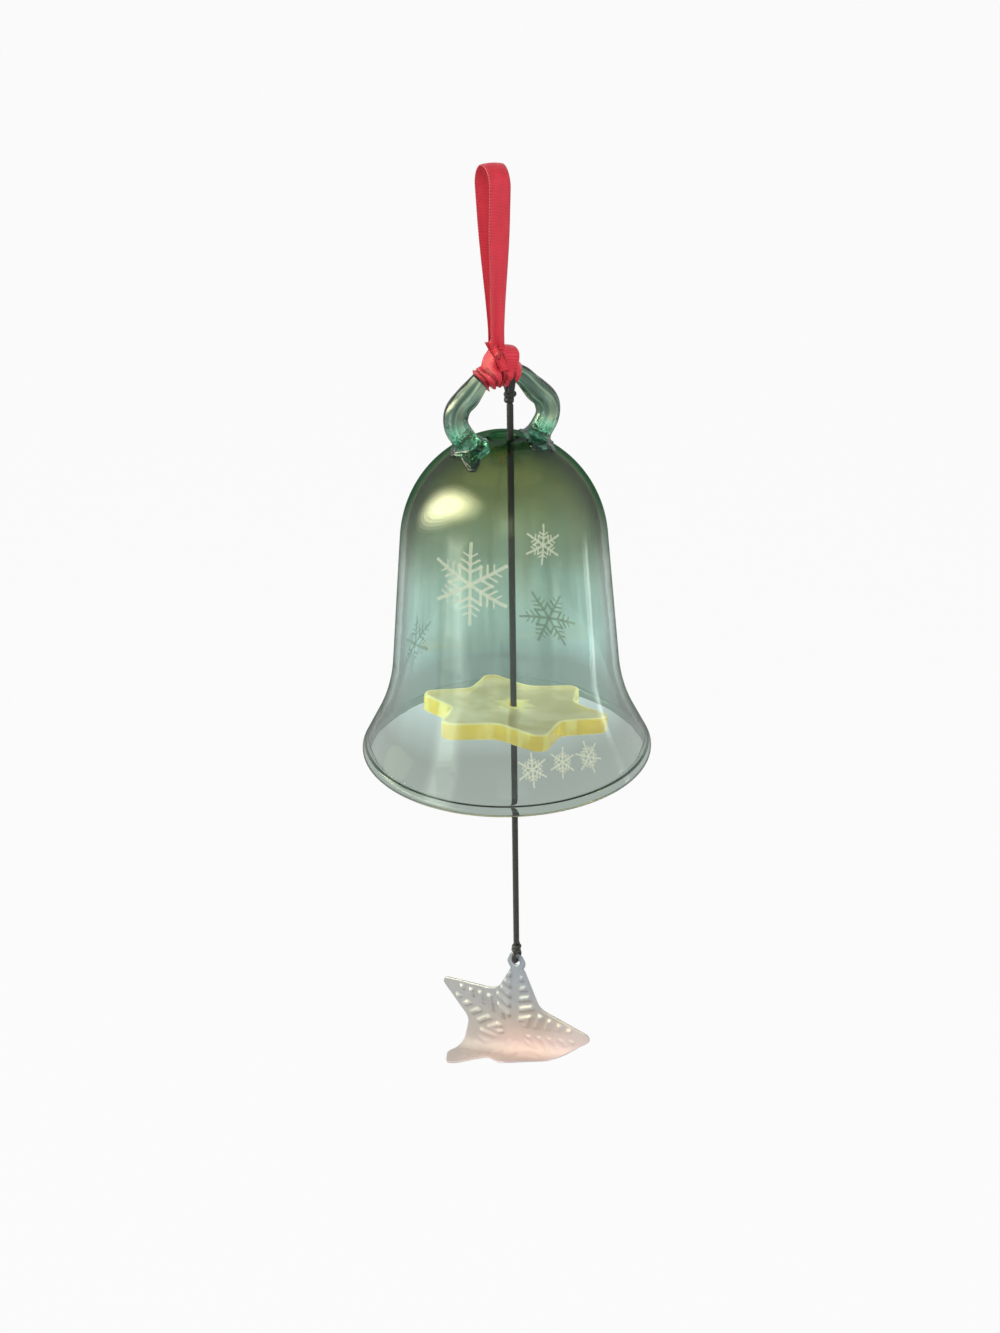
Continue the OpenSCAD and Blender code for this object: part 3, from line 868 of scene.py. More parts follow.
def knot_cloth(bend, turn):
    """Thickness and painted shade for creases, the seam and the underside: a collar above the rod, two bands
    round it, gathered below.
    """
    down = min(turn, TURN - turn)
    seam = groove(down)
    collar = ease((1.1 - down) / 0.6) * ease((bend + 0.44) / 0.36) * ease((0.33 - bend) / 0.13)
    front = peak(down, 1.5, 1.05) * ease((bend + 0.6) / 0.26) * ease((0.43 - bend) / 0.13)
    below = ease((down - 2.1) / 0.5) * ease((bend + 0.5) / 0.15) * ease((0.40 - bend) / 0.12)
    seam_cut = peak(bend, seam, 0.06) * ease((down - 0.3) / 0.4)
    share = knot_across(bend, turn)
    if bend > seam:
        pleat = math.cos(TURN * 2.4 * share + 1.1 * math.sin(1.4 * down)) * ease((down - 0.9) / 0.9)
    else:
        pleat = math.cos(TURN * (2.1 * share - 0.42 * down)) * ease((down - 0.2) / 0.7)
    valley = ease(-pleat * 1.2)
    tail = 0.5 * peak(bend, -0.585, 0.03) - 0.35 * peak(bend, -0.53, 0.03)
    crease = 0.09 * math.sin(9 * bend + 5 * turn) * math.sin(23 * bend - 3 * turn)
    thick = 0.55 + 3.4 * collar + 1.7 * front + 0.8 * below - 0.75 * seam_cut + 0.22 * pleat - 0.25 * valley
    # Painted shade: pleat valleys, the seam, the tail's groove and the underside of the knot.
    shade = max(0.75 * valley, seam_cut, peak(bend, -0.53, 0.04), ease((down - 2.4) / 0.5) * 0.6)
    return thick + tail + crease, shade


def knot_core(finish):
    """The knot's cloth, one gathered body closed round the rod; its painted shade goes into the fold
    attribute.
    """
    rows, cols = KNOT_ROWS, KNOT_COLS
    points = []
    spots = []
    painted_crease_shade = []
    for skin in (0, 1):
        for i in range(rows):
            share = i / (rows - 1)
            bend = between(KNOT_ENDS, share)
            end = math.sqrt(max(0.02, 1 - abs(2 * share - 1) ** 10))
            outward, rod_r, middle = rod_at(bend)
            for k in range(cols):
                turn = TURN * k / cols
                # crease here is the painted shade from knot_cloth.
                thick, crease = knot_cloth(bend, turn)
                reach = rod_r + KNOT_GAP + max(KNOT_LEAST, thick) * end * skin
                points.append(middle + (outward * math.cos(turn) - BACK * math.sin(turn)) * reach)
                spots.append((knot_across(bend, turn), 3.2 * min(turn, TURN - turn)))
                painted_crease_shade.append(crease)
    rim = pairs_round(list(range(cols)))
    rim += [((rows - 1) * cols + a, (rows - 1) * cols + b) for a, b in rim]
    faces = closed_sheet(grid_faces(rows, cols, wrap_cols=True), rows * cols, rim)
    piece = make_piece("ribbon_knot_core", points, faces, finish, spots)
    piece.data.attributes.new("fold", "FLOAT", "POINT").data.foreach_set("value", painted_crease_shade)
    return face_outwards(piece)


def make_knot(finish):
    """The ribbon's knot round the rod: its gathered body and its raised fold."""
    core = knot_core(finish)
    ridge = knot_ridge(finish)
    place_piece(ridge, "bell", "ribbon")
    place_piece(core, "bell", "ribbon", "ribbon_hitch")
    return [core, ridge]


# Glass bell
BELL_TURNS = 192
ARC_STEPS, FLARE_STEPS, WAIST_STEPS, LIP_STEPS = 40, 8, 20, 28
RIPPLE = (0.0010, 0.0006)
CROWN_HOLE_R, HOLE_SOFT = 3.6, 0.6


def bell_outline():
    """The wall as in the part's source: its lip's middle, a function for its faces, its dome's circle."""
    bead = Vector((RIM_R - LIP_R, LIP_R))
    flare_foot = bead + polar(LIP_R, FLARE_LEAN)
    flare_top = flare_foot + FLARE_L * Vector((-math.sin(FLARE_LEAN), math.cos(FLARE_LEAN)))
    flare_centre = flare_top + polar(FLARE_R, FLARE_LEAN)
    waist_foot = flare_centre - polar(FLARE_R, WAIST_LEAN)
    shoulder = BELL_H - DOME_H
    waist_top = Vector((waist_foot.x - (shoulder - waist_foot.y) * math.tan(WAIST_LEAN), shoulder))
    chord = Vector((CROWN_R, BELL_H)) - waist_top
    dome_r = chord.length_squared / (-2 * chord.dot(polar(1, WAIST_LEAN)))
    dome_centre = waist_top - polar(dome_r, WAIST_LEAN)
    dome_end = math.atan2(BELL_H - dome_centre.y, CROWN_R - dome_centre.x)

    def face(depth):
        """Radius and height above the lip, from the flare to the crown, at a depth in the wall."""
        foot = flare_foot - polar(depth, FLARE_LEAN)
        hollow = []
        for i in range(ARC_STEPS + 1):
            a = FLARE_LEAN + (WAIST_LEAN - FLARE_LEAN) * i / ARC_STEPS
            hollow.append(flare_centre - polar(FLARE_R + depth, a))
        dome = arc(dome_centre, dome_r - depth, WAIST_LEAN, dome_end, ARC_STEPS)
        flare = [foot.lerp(hollow[0], i / FLARE_STEPS) for i in range(FLARE_STEPS)]
        waist = [hollow[-1].lerp(dome[0], i / WAIST_STEPS) for i in range(1, WAIST_STEPS)]
        return flare + hollow + waist + dome

    return bead, face, dome_centre, dome_r


BEAD, BELL_FACE, DOME_CENTRE, DOME_R = bell_outline()
OUTER_FACE = BELL_FACE(0)


def make_bell(finish):
    """The blown wall, turned from its outline; a slow ripple keeps it from looking machined."""
    soft, cut = HOLE_SOFT, 0.3 * HOLE_SOFT
    steps = [(soft, 0), (cut, cut), (0, soft), (0, WALL - soft), (cut, WALL - cut), (soft, WALL)]
    hole = [Vector((CROWN_HOLE_R + out, BELL_H - down)) for out, down in steps]
    meet = FLARE_LEAN + math.pi - math.acos((WALL - LIP_R) / LIP_R)
    bead = arc(BEAD, LIP_R, meet, TURN + FLARE_LEAN, LIP_STEPS)[1:-1]
    inner = [p for p in reversed(BELL_FACE(WALL)) if p.y > bead[0].y + 0.2]
    outline = OUTER_FACE + hole + inner + bead
    points = []
    for i in range(BELL_TURNS):
        turn = TURN * i / BELL_TURNS
        for p in outline:
            ripple = 1 + RIPPLE[0] * math.sin(3 * turn + 0.09 * p.y)
            ripple += RIPPLE[1] * math.sin(5 * turn - 0.13 * p.y)
            spot = polar(p.x * ripple, turn)
            points.append(Vector((spot.x, spot.y, RIM_Z + p.y)))
    faces = grid_faces(BELL_TURNS, len(outline), wrap_cols=True, wrap_rows=True)
    piece = face_outwards(make_piece("bell_glass_wall", points, faces, finish))
    return place_piece(piece, "bell", "bell_glass", "glass_bell")


# Frosted crystals on the glass: azimuth, height above the lip, reach, turn, all in degrees and millimetres
LIGHT_CRYSTALS = [
    (-130.1, 56.0, 10.0, 90), (-90.6, 65.0, 4.6, 80),
    (-101.5, 10.7, 3.9, 90), (-88.0, 11.2, 3.5, 78), (-75.0, 10.7, 3.8, 96),
]
DENSE_CRYSTALS = [(42.5, 25.5, 8.8, 57), (129.5, 24.0, 8.2, 92)]
LIGHT_PAINTED_GLOW, LIGHT_COVER = 0.2, 0.4
DENSE_PAINTED_GLOW, DENSE_COVER = 0.05, 0.58
CRYSTAL_LIFT, CRYSTAL_SKIN = 0.03, 0.05
BAR_LEAST, BAR_SHARE = 0.22, 0.062
LONG_REACH, ARM_GAP = 6, 0.05
TWIG_FROM, TWIG_STEP, TWIG_L, TWIG_W, TWIG_SHRINK = 0.3, 0.18, 0.34, 0.8, 0.2
CRYSTAL_INPUTS = {"Reach": "Float", "Bar": "Float", "Branches": "Int", "Turn": "Float", "Place": "Vector",
                  "Out": "Vector", "Lift": "Float", "Glass": "Object", "Frost": "Material"}


def crystal_tree():
    """Six branched arms laid flat and cast onto the glass."""
    group = bpy.data.node_groups.new("frost_crystal", "GeometryNodeTree")
    for name, kind in CRYSTAL_INPUTS.items():
        group.interface.new_socket(name, in_out="INPUT", socket_type="NodeSocket" + kind)
    group.interface.new_socket("Crystal", in_out="OUTPUT", socket_type="NodeSocketGeometry")
    tree = Tree(group)
    given = tree.node("NodeGroupInput")
    reach, bar = given.out("Reach"), given.out("Bar")

    def geometry_node(kind, **sockets):
        named = {key.replace("_", " "): value for key, value in sockets.items()}
        return tree.node("GeometryNode" + kind, inputs=named).out()

    def strip(length, width):
        """A flat bar that starts just off the origin, so that no two arms share an end face."""
        flat = geometry_node("MeshGrid", Size_X=length, Size_Y=width, Vertices_X=10, Vertices_Y=2)
        shift = tree.vector(length * 0.5 + width * ARM_GAP, 0, 0)
        return geometry_node("Transform", Geometry=flat, Translation=shift)

    def copies(points, shape, turn, size):
        turn = tree.vector(0, 0, turn)
        return geometry_node("InstanceOnPoints", Points=points, Instance=shape, Rotation=turn, Scale=size)

    def row(count, start, step):
        start = tree.vector(start, 0, 0)
        return geometry_node("MeshLine", Count=count, Start_Location=start, Offset=tree.vector(step, 0, 0))

    index = geometry_node("InputIndex")
    shrink = 1 - index * TWIG_SHRINK
    twigs = row(given.out("Branches"), reach * TWIG_FROM, reach * TWIG_STEP)
    twig = strip(reach * TWIG_L, bar * TWIG_W)
    arm = tree.node("GeometryNodeJoinGeometry")
    tree.feed(arm.node.inputs[0], strip(reach, bar))
    for slant in (SIXTH, -SIXTH):
        tree.feed(arm.node.inputs[0], copies(twigs, twig, slant, shrink))
    whole = copies(row(6, 0.0, 0.0), arm.out(), index * SIXTH + given.out("Turn"), (1, 1, 1))
    whole = geometry_node("RealizeInstances", Geometry=whole)
    x, y, _ = tree.xyz(geometry_node("InputPosition"))
    out = given.out("Out")
    side = tree.node("VectorMath", {"operation": "CROSS_PRODUCT"}, [tuple(UP), out]).out()
    start = tree.added(tree.added(given.out("Place"), tree.scaled(side, x)), tree.vector(0, 0, y))
    glass = tree.node("GeometryNodeObjectInfo", inputs=[given.out("Glass")]).out("Geometry")
    sockets = {"Target Geometry": glass, "Source Position": start, "Ray Direction": tree.scaled(out, -1.0)}
    cast = tree.node("GeometryNodeRaycast", inputs=sockets)
    on_glass = tree.added(cast.out("Hit Position"), tree.scaled(cast.out("Hit Normal"), given.out("Lift")))
    whole = geometry_node("SetPosition", Geometry=whole, Position=on_glass)
    whole = geometry_node("SetMaterial", Geometry=whole, Material=given.out("Frost"))
    tree.node("NodeGroupOutput", inputs=[whole])
    return group


def glass_radius(height):
    """Outer radius of the bell at a height above its lip."""
    for low, high in zip(OUTER_FACE, OUTER_FACE[1:]):
        if low.y <= height <= high.y:
            return low.x + (high.x - low.x) * (height - low.y) / (high.y - low.y)
    return OUTER_FACE[0].x


def make_frost(name, bell, group, crystals, finish):
    """Frosted crystals in one mesh that rides on the bell."""
    names = {item.name: item.identifier for item in group.interface.items_tree if item.in_out == "INPUT"}
    shared = {"Lift": CRYSTAL_LIFT * MM, "Glass": bell, "Frost": finish}
    work = bmesh.new()
    for azimuth, height, reach, turn in crystals:
        out = polar(1, math.radians(azimuth)).to_3d()
        place = out * (glass_radius(height) + reach) + UP * (RIM_Z + height)
        bar = BAR_LEAST + BAR_SHARE * reach
        sizes = {"Reach": reach * MM, "Bar": bar * MM, "Branches": 3 if reach > LONG_REACH else 2}
        lie = {"Turn": math.radians(turn), "Place": place * MM, "Out": out}
        host = make_piece("frost_host", [], [], finish)
        wrap = host.modifiers.new("crystal", "NODES")
        wrap.node_group = group
        for socket, value in {**sizes, **lie, **shared}.items():
            wrap[names[socket]] = value
        skin = host.modifiers.new("skin", "SOLIDIFY")
        skin.thickness = CRYSTAL_SKIN * MM
        skin.offset = 1.0
        mesh = bpy.data.meshes.new_from_object(host.evaluated_get(bpy.context.evaluated_depsgraph_get()))
        work.from_mesh(mesh)
        bpy.data.objects.remove(host)
        bpy.data.meshes.remove(mesh)
    piece = make_piece(name, [], [], finish)
    bmesh.ops.recalc_face_normals(work, faces=work.faces)
    work.to_mesh(piece.data)
    work.free()
    return place_piece(piece, "bell", "bell_glass")


# Glass loop on the crown
ROD_SIDES, ROD_STEP = 40, 0.4
LAND_NEAR, LAND_STEP, LAND_MOST = 0.05, 0.02, 12
PAD_R, PAD_GAP, PAD_RINGS = 4.6, 0.06, 10
PAD_LEAD, PAD_TRAIL = 1.3, 0.9
FILM_T, FILM_RINGS = 0.35, 6
FILM_EDGE, FILM_TAIL = 0.08, 1.6
FILM_PRONG, FILM_PRONGS, FILM_NARROW = 0.3, 7, 6
UNDER_RINGS = (0.7, 0.4, 0.15)
FILM_WAY = Vector((-0.2, -0.98, 0))


def on_dome(point, gap):
    """The nearest place on the dome's outer face, lifted by a gap."""
    r = math.hypot(point.x, point.y)
    spot = Vector((r, point.z - RIM_Z)) - DOME_CENTRE
    spot = DOME_CENTRE + spot.normalized() * (DOME_R + gap)
    if spot.x < CROWN_R:
        spot = Vector((r, BELL_H + gap))
    return Vector((point.x / r * spot.x, point.y / r * spot.x, RIM_Z + spot.y))


def loop_half():
    """Middle of the rod from the top of the arch to the right foot, in the XZ plane."""
    arch_centre = Vector((0, ROD_Z - ARCH_R))
    arch_end = arch_centre + polar(ARCH_R, math.pi / 2 - ARCH_SLOPE)
    bend_x = LOOP_W / 2 - BEND_R
    shoulder_l = (bend_x + BEND_R * math.sin(ARCH_SLOPE) - arch_end.x) / math.cos(ARCH_SLOPE)
    shoulder_end = arch_end + shoulder_l * Vector((math.cos(ARCH_SLOPE), -math.sin(ARCH_SLOPE)))
    bend_centre = shoulder_end - polar(BEND_R, math.pi / 2 - ARCH_SLOPE)
    arch = arc(arch_centre, ARCH_R, math.pi / 2, math.pi / 2 - ARCH_SLOPE, 16)
    bend = arc(bend_centre, BEND_R, math.pi / 2 - ARCH_SLOPE, -FOOT_TUCK, 24)
    return [Vector((p.x, 0, p.y)) for p in arch + bend]


def foot_landing(start, ahead):
    """Where the foot's middle line meets the dome."""
    at = start
    while (at - on_dome(at, 0)).length > LAND_NEAR and (at - start).length < LAND_MOST:
        at = at + ahead * LAND_STEP
    return at


def make_loop(finish):
    """A bent rod, drawn thinner at its top, whose feet spread into melted pads on the dome."""
    half = loop_half()
    route = resample([Vector((-p.x, 0, p.z)) for p in reversed(half)] + half[1:], ROD_STEP)
    points = []
    spots = []
    for i, at in enumerate(route):
        outward = tangent(route, i).cross(BACK)
        r = rod_radius(at.x)
        middle = at + outward * (ROD_R - r)
        r *= 1 + 0.018 * math.sin(0.23 * i) + 0.012 * math.sin(0.51 * i + 1)
        for k in range(ROD_SIDES):
            spot = polar(1, TURN * k / ROD_SIDES)
            points.append(middle + (BACK * spot.x + outward * spot.y) * r)
            spots.append((0.5 + 0.5 * spot.x, 0.5 + 0.5 * spot.y))
    rows = [list(range(i * ROD_SIDES, (i + 1) * ROD_SIDES)) for i in range(len(route))]
    first = melted_foot(points, spots, rows[0], route[0], -tangent(route, 0))
    last = melted_foot(points, spots, rows[-1], route[-1], tangent(route, len(route) - 1))
    rows = list(reversed(first)) + rows + last
    faces = []
    for a, b in zip(rows, rows[1:]):
        faces += [(a[k], a[(k + 1) % ROD_SIDES], b[(k + 1) % ROD_SIDES], b[k]) for k in range(ROD_SIDES)]
    faces += [tuple(rows[0]), tuple(rows[-1])]
    piece = face_outwards(make_piece("loop_glass_rod", points, faces, finish, spots))
    return place_piece(piece, "bell", "loop_glass", "glass_loop")


def melted_foot(points, spots, ring, end, ahead):
    """Adds the rings of a foot: from the rod's end to a pad, out along a thin film, then back under both."""
    landing = foot_landing(end, ahead)
    seat = on_dome(landing, PAD_GAP)
    up = (seat - on_dome(landing, PAD_GAP - 1)).normalized()
    lead = ahead * (landing - end).length * PAD_LEAD
    film_top = PAD_GAP + FILM_T
    rims = []
    for n, index in enumerate(ring):
        arm = points[index] - end
        flat = (arm - up * arm.dot(up)).normalized()
        turn = TURN * n / ROD_SIDES
        lobe = 1 + 0.10 * math.sin(2 * turn + 0.7) + 0.06 * math.sin(5 * turn)
        prong = 1 - FILM_PRONG + FILM_PRONG * math.cos(FILM_PRONGS * turn)
        tail = FILM_EDGE + FILM_TAIL * prong * max(0.0, flat.dot(FILM_WAY)) ** FILM_NARROW
        rims.append((points[index], flat, PAD_R * lobe, tail))
    rows = []

    def add_row(places):
        rows.append(list(range(len(points), len(points) + ROD_SIDES)))
        points.extend(places)
        spots.extend([spots[index] for index in ring])

    for j in range(1, PAD_RINGS + 1):
        places = []
        for start, flat, reach, _ in rims:
            rim = on_dome(seat + flat * reach, film_top)
            trail = (rim - seat).normalized() * reach * PAD_TRAIL
            spot = flow(start, rim, lead, trail, j / PAD_RINGS)
            low = on_dome(spot, film_top)
            places.append(low if (spot - low).dot(up) < 0 else spot)
        add_row(places)
    for j in range(1, FILM_RINGS + 1):
        share = j / FILM_RINGS
        gap = PAD_GAP + FILM_T * (1 - share * share)
        add_row([on_dome(seat + flat * reach * (1 + tail * share), gap) for _, flat, reach, tail in rims])
    ends = [flat * reach * (1 + tail) for _, flat, reach, tail in rims]
    for share in UNDER_RINGS:
        add_row([on_dome(seat + end * share, PAD_GAP) for end in ends])
    return rows


# Star outlines
def rounded(corners, steps):
    """Closed outline from corners, each a point and its rounding radius."""
    out = []
    count = len(corners)
    for i, (at, r) in enumerate(corners):
        u = (corners[i - 1][0] - at).normalized()
        w = (corners[(i + 1) % count][0] - at).normalized()
        half = math.acos(u.dot(w)) / 2
        centre = at + (u + w).normalized() * r / math.sin(half)
        start = at + u * r / math.tan(half) - centre
        stop = at + w * r / math.tan(half) - centre
        a0 = math.atan2(start.y, start.x)
        swing = (math.atan2(stop.y, stop.x) - a0 + math.pi) % TURN - math.pi
        out += arc(centre, r, a0, a0 + swing, steps)
    return out


def evenly(outline, step):
    """Closed outline with evenly spaced points."""
    loop = [Vector((p.x, p.y, 0)) for p in outline]
    points = resample(loop + loop[:1], step)[:-1]
    return [Vector((p.x, p.y)) for p in points]


# Star clapper
STAR_POINTS = 6
STAR_STEP = 0.7
STAR_EDGE_ROUND, STAR_EDGE_STEPS = 0.5, 5
FACE_INSET, FACE_RINGS = 1.0, (0.75, 0.5, 0.25)
CORNER_STEPS = 10
HOLE_BEVEL = 0.6


def star_matrix():
    """Place of the star, leaning on its stopper knot."""
    axis = Vector((-math.sin(STAR_LOW_SIDE), math.cos(STAR_LOW_SIDE), 0))
    lean = Matrix.Rotation(STAR_LEAN, 4, axis)
    return Matrix.Translation(STAR_AT) @ lean @ Matrix.Rotation(STAR_TURN - math.pi / 2, 4, "Z")


def make_star(finish):
    """Cast star: flat faces, softened edges and a drilled hole with a bevel."""
    tips = []
    for i in range(STAR_POINTS):
        tips.append((polar(STAR_R, math.pi / 2 + TURN * i / STAR_POINTS), STAR_TIP_ROUND))
        tips.append((polar(STAR_DIP_R, math.pi / 2 + TURN * (i + 0.5) / STAR_POINTS), STAR_DIP_ROUND))
    outline = evenly(rounded(tips, CORNER_STEPS), STAR_STEP)
    count = len(outline)
    half = STAR_T / 2
    rim = []
    for i in range(STAR_EDGE_STEPS + 1):
        a = math.pi / 2 * i / STAR_EDGE_STEPS
        rim.append((STAR_EDGE_ROUND * (1 - math.sin(a)), half - STAR_EDGE_ROUND * (1 - math.cos(a))))
    bore = [(STAR_HOLE_R + HOLE_BEVEL, half), (STAR_HOLE_R, half - HOLE_BEVEL)]
    bore += [(r, -z) for r, z in reversed(bore)]
    points = []
    spots = []

    # line marks where the finish paints a pale highlight line: the rounded edges next to each face and the
    # hole's rim on each face.
    def ring(flat, z, edge, line=0.0):
        points.extend([Vector((*p, z)) for p in flat])
        spots.extend([(edge, line)] * count)

    def inset(depth):
        """The outline moved inwards."""
        ways = [tangent(outline, i, closed=True) for i in range(count)]
        return [p + Vector((-way.y, way.x)) * depth for p, way in zip(outline, ways)]

    for depth, z in rim + [(d, -z) for d, z in reversed(rim)]:
        ring(inset(depth), z, 1.0, 1.0 if abs(z) > half - STAR_EDGE_ROUND / 2 else 0.0)
    ring(inset(FACE_INSET), -half, 0.0)
    for share in FACE_RINGS:
        ring([p * share for p in outline], -half, 0.0)
    for r, z in reversed(bore):
        ring([p.normalized() * r for p in outline], z, 1.0, 1.0 if abs(z) == half else 0.0)
    for share in reversed(FACE_RINGS):
        ring([p * share for p in outline], half, 0.0)
    ring(inset(FACE_INSET), half, 0.0)
    place = star_matrix()
    faces = grid_faces(len(points) // count, count, wrap_cols=True, wrap_rows=True)
    piece = make_piece("star_clapper_glass", [place @ p for p in points], faces, finish, spots)
    return place_piece(face_outwards(piece), "star", "star_glass", "star_clapper")


# Wind sail
SAIL_HOLE = Vector((0, SAIL_HOLE_UP))
SAIL_LEFT_DIP_R = 15.7
TAB_R = SAIL_HOLE_R + TAB_WALL + 0.15
SHEET_STEP, SHEET_REACH = 0.45, 31
HOLE_STEPS = 28
EMBOSS = 0.72
FOLD_EASE, FOLD_EASE_FROM, FOLD_EASE_RUN = math.radians(24), 2, 16
BARB_STEP, BARB_SLANT, BARB_FROM, BARB_TO = 3.7, 0.6, 3.0, 23.0
BARB_TIP_W, BARB_SPREAD = 1.6, 6.4
SPINE_HALF = 1.3
BEND_FADE, BEND_FADE_RUN = 0.65, 2.5
SAIL_U_SPAN, SAIL_V_SPAN, FOLD_V = 64, 44, 0.4


def past_fold(x, y):
    """How far a flat point lies beyond the line where the bend begins."""
    return x * math.sin(FOLD_DIR) - y * math.cos(FOLD_DIR) - FOLD_OFF


def bent(x, y, depth):
    """A point of the folded sheet: flat place across and up, and depth behind the sheet's middle."""
    past = past_fold(x, y)
    level = x * math.cos(FOLD_DIR) + y * math.sin(FOLD_DIR)
    angle = FOLD_ANGLE - FOLD_EASE * ease((-level - FOLD_EASE_FROM) / FOLD_EASE_RUN)
    turn = min(max(past, 0) / FOLD_R, angle)
    rest = max(0, past - FOLD_R * angle)
    run = min(past, 0) + FOLD_R * math.sin(turn) + rest * math.cos(turn) + FOLD_OFF + depth * math.sin(turn)
    out = FOLD_R * (1 - math.cos(turn)) + rest * math.sin(turn) - depth * math.cos(turn)
    across = run * math.sin(FOLD_DIR) + level * math.cos(FOLD_DIR)
    return Vector((across, -out, level * math.sin(FOLD_DIR) - run * math.cos(FOLD_DIR)))


def sail_relief(x, y):
    """Stamped feather on each arm: a smooth spine with raised barbs to both sides, faint past the bend."""
    fifth = TURN / 5
    arm = round((math.atan2(y, x) - math.pi / 2) / fifth) * fifth + math.pi / 2
    along = x * math.cos(arm) + y * math.sin(arm)
    aside = abs(-x * math.sin(arm) + y * math.cos(arm))
    wave = math.cos(TURN * (along - BARB_SLANT * aside) / BARB_STEP)
    barb = ease((wave + 0.1) / 0.5) * ease((aside - SPINE_HALF) / 0.4)
    reach = BARB_TIP_W + BARB_SPREAD * ease((26 - along) / 22)
    barb *= ease((reach - aside) / 0.6) * ease(along - BARB_FROM) * ease(BARB_TO - along)
    fade = ease((past_fold(x, y) + BEND_FADE_RUN) / BEND_FADE_RUN)
    return EMBOSS * barb * (1 - BEND_FADE * fade)


def sail_matrix():
    """Place of the sail, hung from its cord ring."""
    place = Matrix.Translation(SAIL_HOLD) @ Matrix.Rotation(SAIL_TURN, 4, "Z")
    tilt = Matrix.Rotation(SAIL_ROLL, 4, "Y") @ Matrix.Rotation(SAIL_LEAN, 4, "X")
    return place @ tilt @ Matrix.Translation(Vector((0, 0, -SAIL_HOLD_UP)))


def sail_outline():
    """Star outline with a round tab on a narrow neck at its top and a blunt point at its lower left."""
    corners = [
        (Vector((0, SAIL_HOLE_UP + 1)), 0.4),
        (Vector((-1.9, SAIL_HOLE_UP - 3.4)), 2.5),
        (Vector((-6.0, 12.2)), 6),
        (polar(SAIL_TIP_R, math.radians(162)), SAIL_TIP_ROUND),
        (polar(SAIL_LEFT_DIP_R, math.radians(190)), SAIL_DIP_ROUND),
        (Vector((-18.2, -18.2)), 2.8),
        (Vector((-12.4, -22.6)), 2.8),
        (polar(SAIL_LOW_DIP_R, math.radians(270)), SAIL_DIP_ROUND),
        (polar(SAIL_TIP_R, math.radians(306)), SAIL_TIP_ROUND),
        (polar(SAIL_RIGHT_DIP_R, math.radians(342)), SAIL_DIP_ROUND),
        (polar(SAIL_TIP_R, math.radians(18)), SAIL_TIP_ROUND),
        (polar(SAIL_TOP_DIP_R, math.radians(54)), SAIL_DIP_ROUND),
        (Vector((3.0, SAIL_HOLE_UP - 2.8)), 2.5),
    ]
    out = []
    for p in evenly(rounded(corners, CORNER_STEPS), SHEET_STEP):
        arm = p - SAIL_HOLE
        out.append(SAIL_HOLE + arm.normalized() * TAB_R if arm.length < TAB_R else p)
    return out


def inside(p, outline):
    """Whether a flat point lies in an outline."""
    found = False
    for a, b in pairs_round(outline):
        if (a.y > p.y) != (b.y > p.y) and p.x < (b.x - a.x) * (p.y - a.y) / (b.y - a.y) + a.x:
            found = not found
    return found


def sheet_points(outline, hole):
    """Flat points of the sheet: its outline, its hole and a fine mesh of points between."""
    rim = outline + hole
    count = len(outline)
    edges = pairs_round(list(range(count))) + pairs_round(list(range(count, len(rim))))
    row_h = SHEET_STEP * math.sqrt(3) / 2
    rows = int(SHEET_REACH / row_h) + 1
    cols = int(SHEET_REACH / SHEET_STEP) + 1
    fill = []
    for j in range(-rows, rows + 1):
        for i in range(-cols, cols + 1):
            p = Vector(((i + 0.5 * (j % 2)) * SHEET_STEP, j * row_h))
            clear = (p - SAIL_HOLE).length > SAIL_HOLE_R + 0.25
            if p.length < SHEET_REACH and clear and inside(p, outline):
                fill.append(p)
    fill = [p for p in fill if min((p - q).length_squared for q in outline) > (0.5 * SHEET_STEP) ** 2]
    flat, _, faces, *_ = geometry.delaunay_2d_cdt(rim + fill, edges, [], 0, 1e-6)
    keep = []
    for face in faces:
        middle = sum((flat[v] for v in face), Vector((0, 0))) / len(face)
        if inside(middle, outline) and not inside(middle, hole):
            keep.append(tuple(face))
    return flat, keep


def rim_edges(faces):
    """Edges that belong to one face only, each the other way round."""
    seen = {}
    for face in faces:
        for edge in pairs_round(face):
            seen[edge] = True
    return [(b, a) for a, b in seen if (b, a) not in seen]


def make_sail(finish):
    """A stamped sheet whose lower part is folded up towards the front."""
    outline = sail_outline()
    hole = [SAIL_HOLE + polar(SAIL_HOLE_R, TURN * i / HOLE_STEPS) for i in range(HOLE_STEPS)]
    flat, front = sheet_points(outline, hole)
    place = sail_matrix()
    points = []
    spots = []
    for side in (-0.5, 0.5):
        for p in flat:
            lift = sail_relief(p.x, p.y)
            points.append(place @ bent(p.x, p.y, side * SAIL_T - lift))
            spots.append((p.x / SAIL_U_SPAN + 0.5, FOLD_V - past_fold(p.x, p.y) / SAIL_V_SPAN))
    faces = closed_sheet(front, len(flat), rim_edges(front))
    piece = make_piece("wind_sail_sheet", points, faces, finish, spots)
    return place_piece(face_outwards(piece), "sail", "sail_metal", "wind_sail")


# Stage, whose lengths are in metres
FLOOR_Z = -0.34
FLOOR_HALF = 30
FLOOR_GLOW, FLOOR_LEVEL = 0.92, 0.958
LAMP_PARTS = (0.1, 0.25, 0.45, 0.65, 0.85, 1.0)
LAMP_SHRINK, LAMP_GAP = 0.13, 0.002


def seen_rays(finish):
    """1 for rays from the camera and through or off glass and metal."""
    rays = finish.node("LightPath")
    shiny = rays.out("Is Glossy Ray").maths("MAXIMUM", rays.out("Is Transmission Ray"))
    return rays.out("Is Camera Ray").maths("MAXIMUM", shiny)


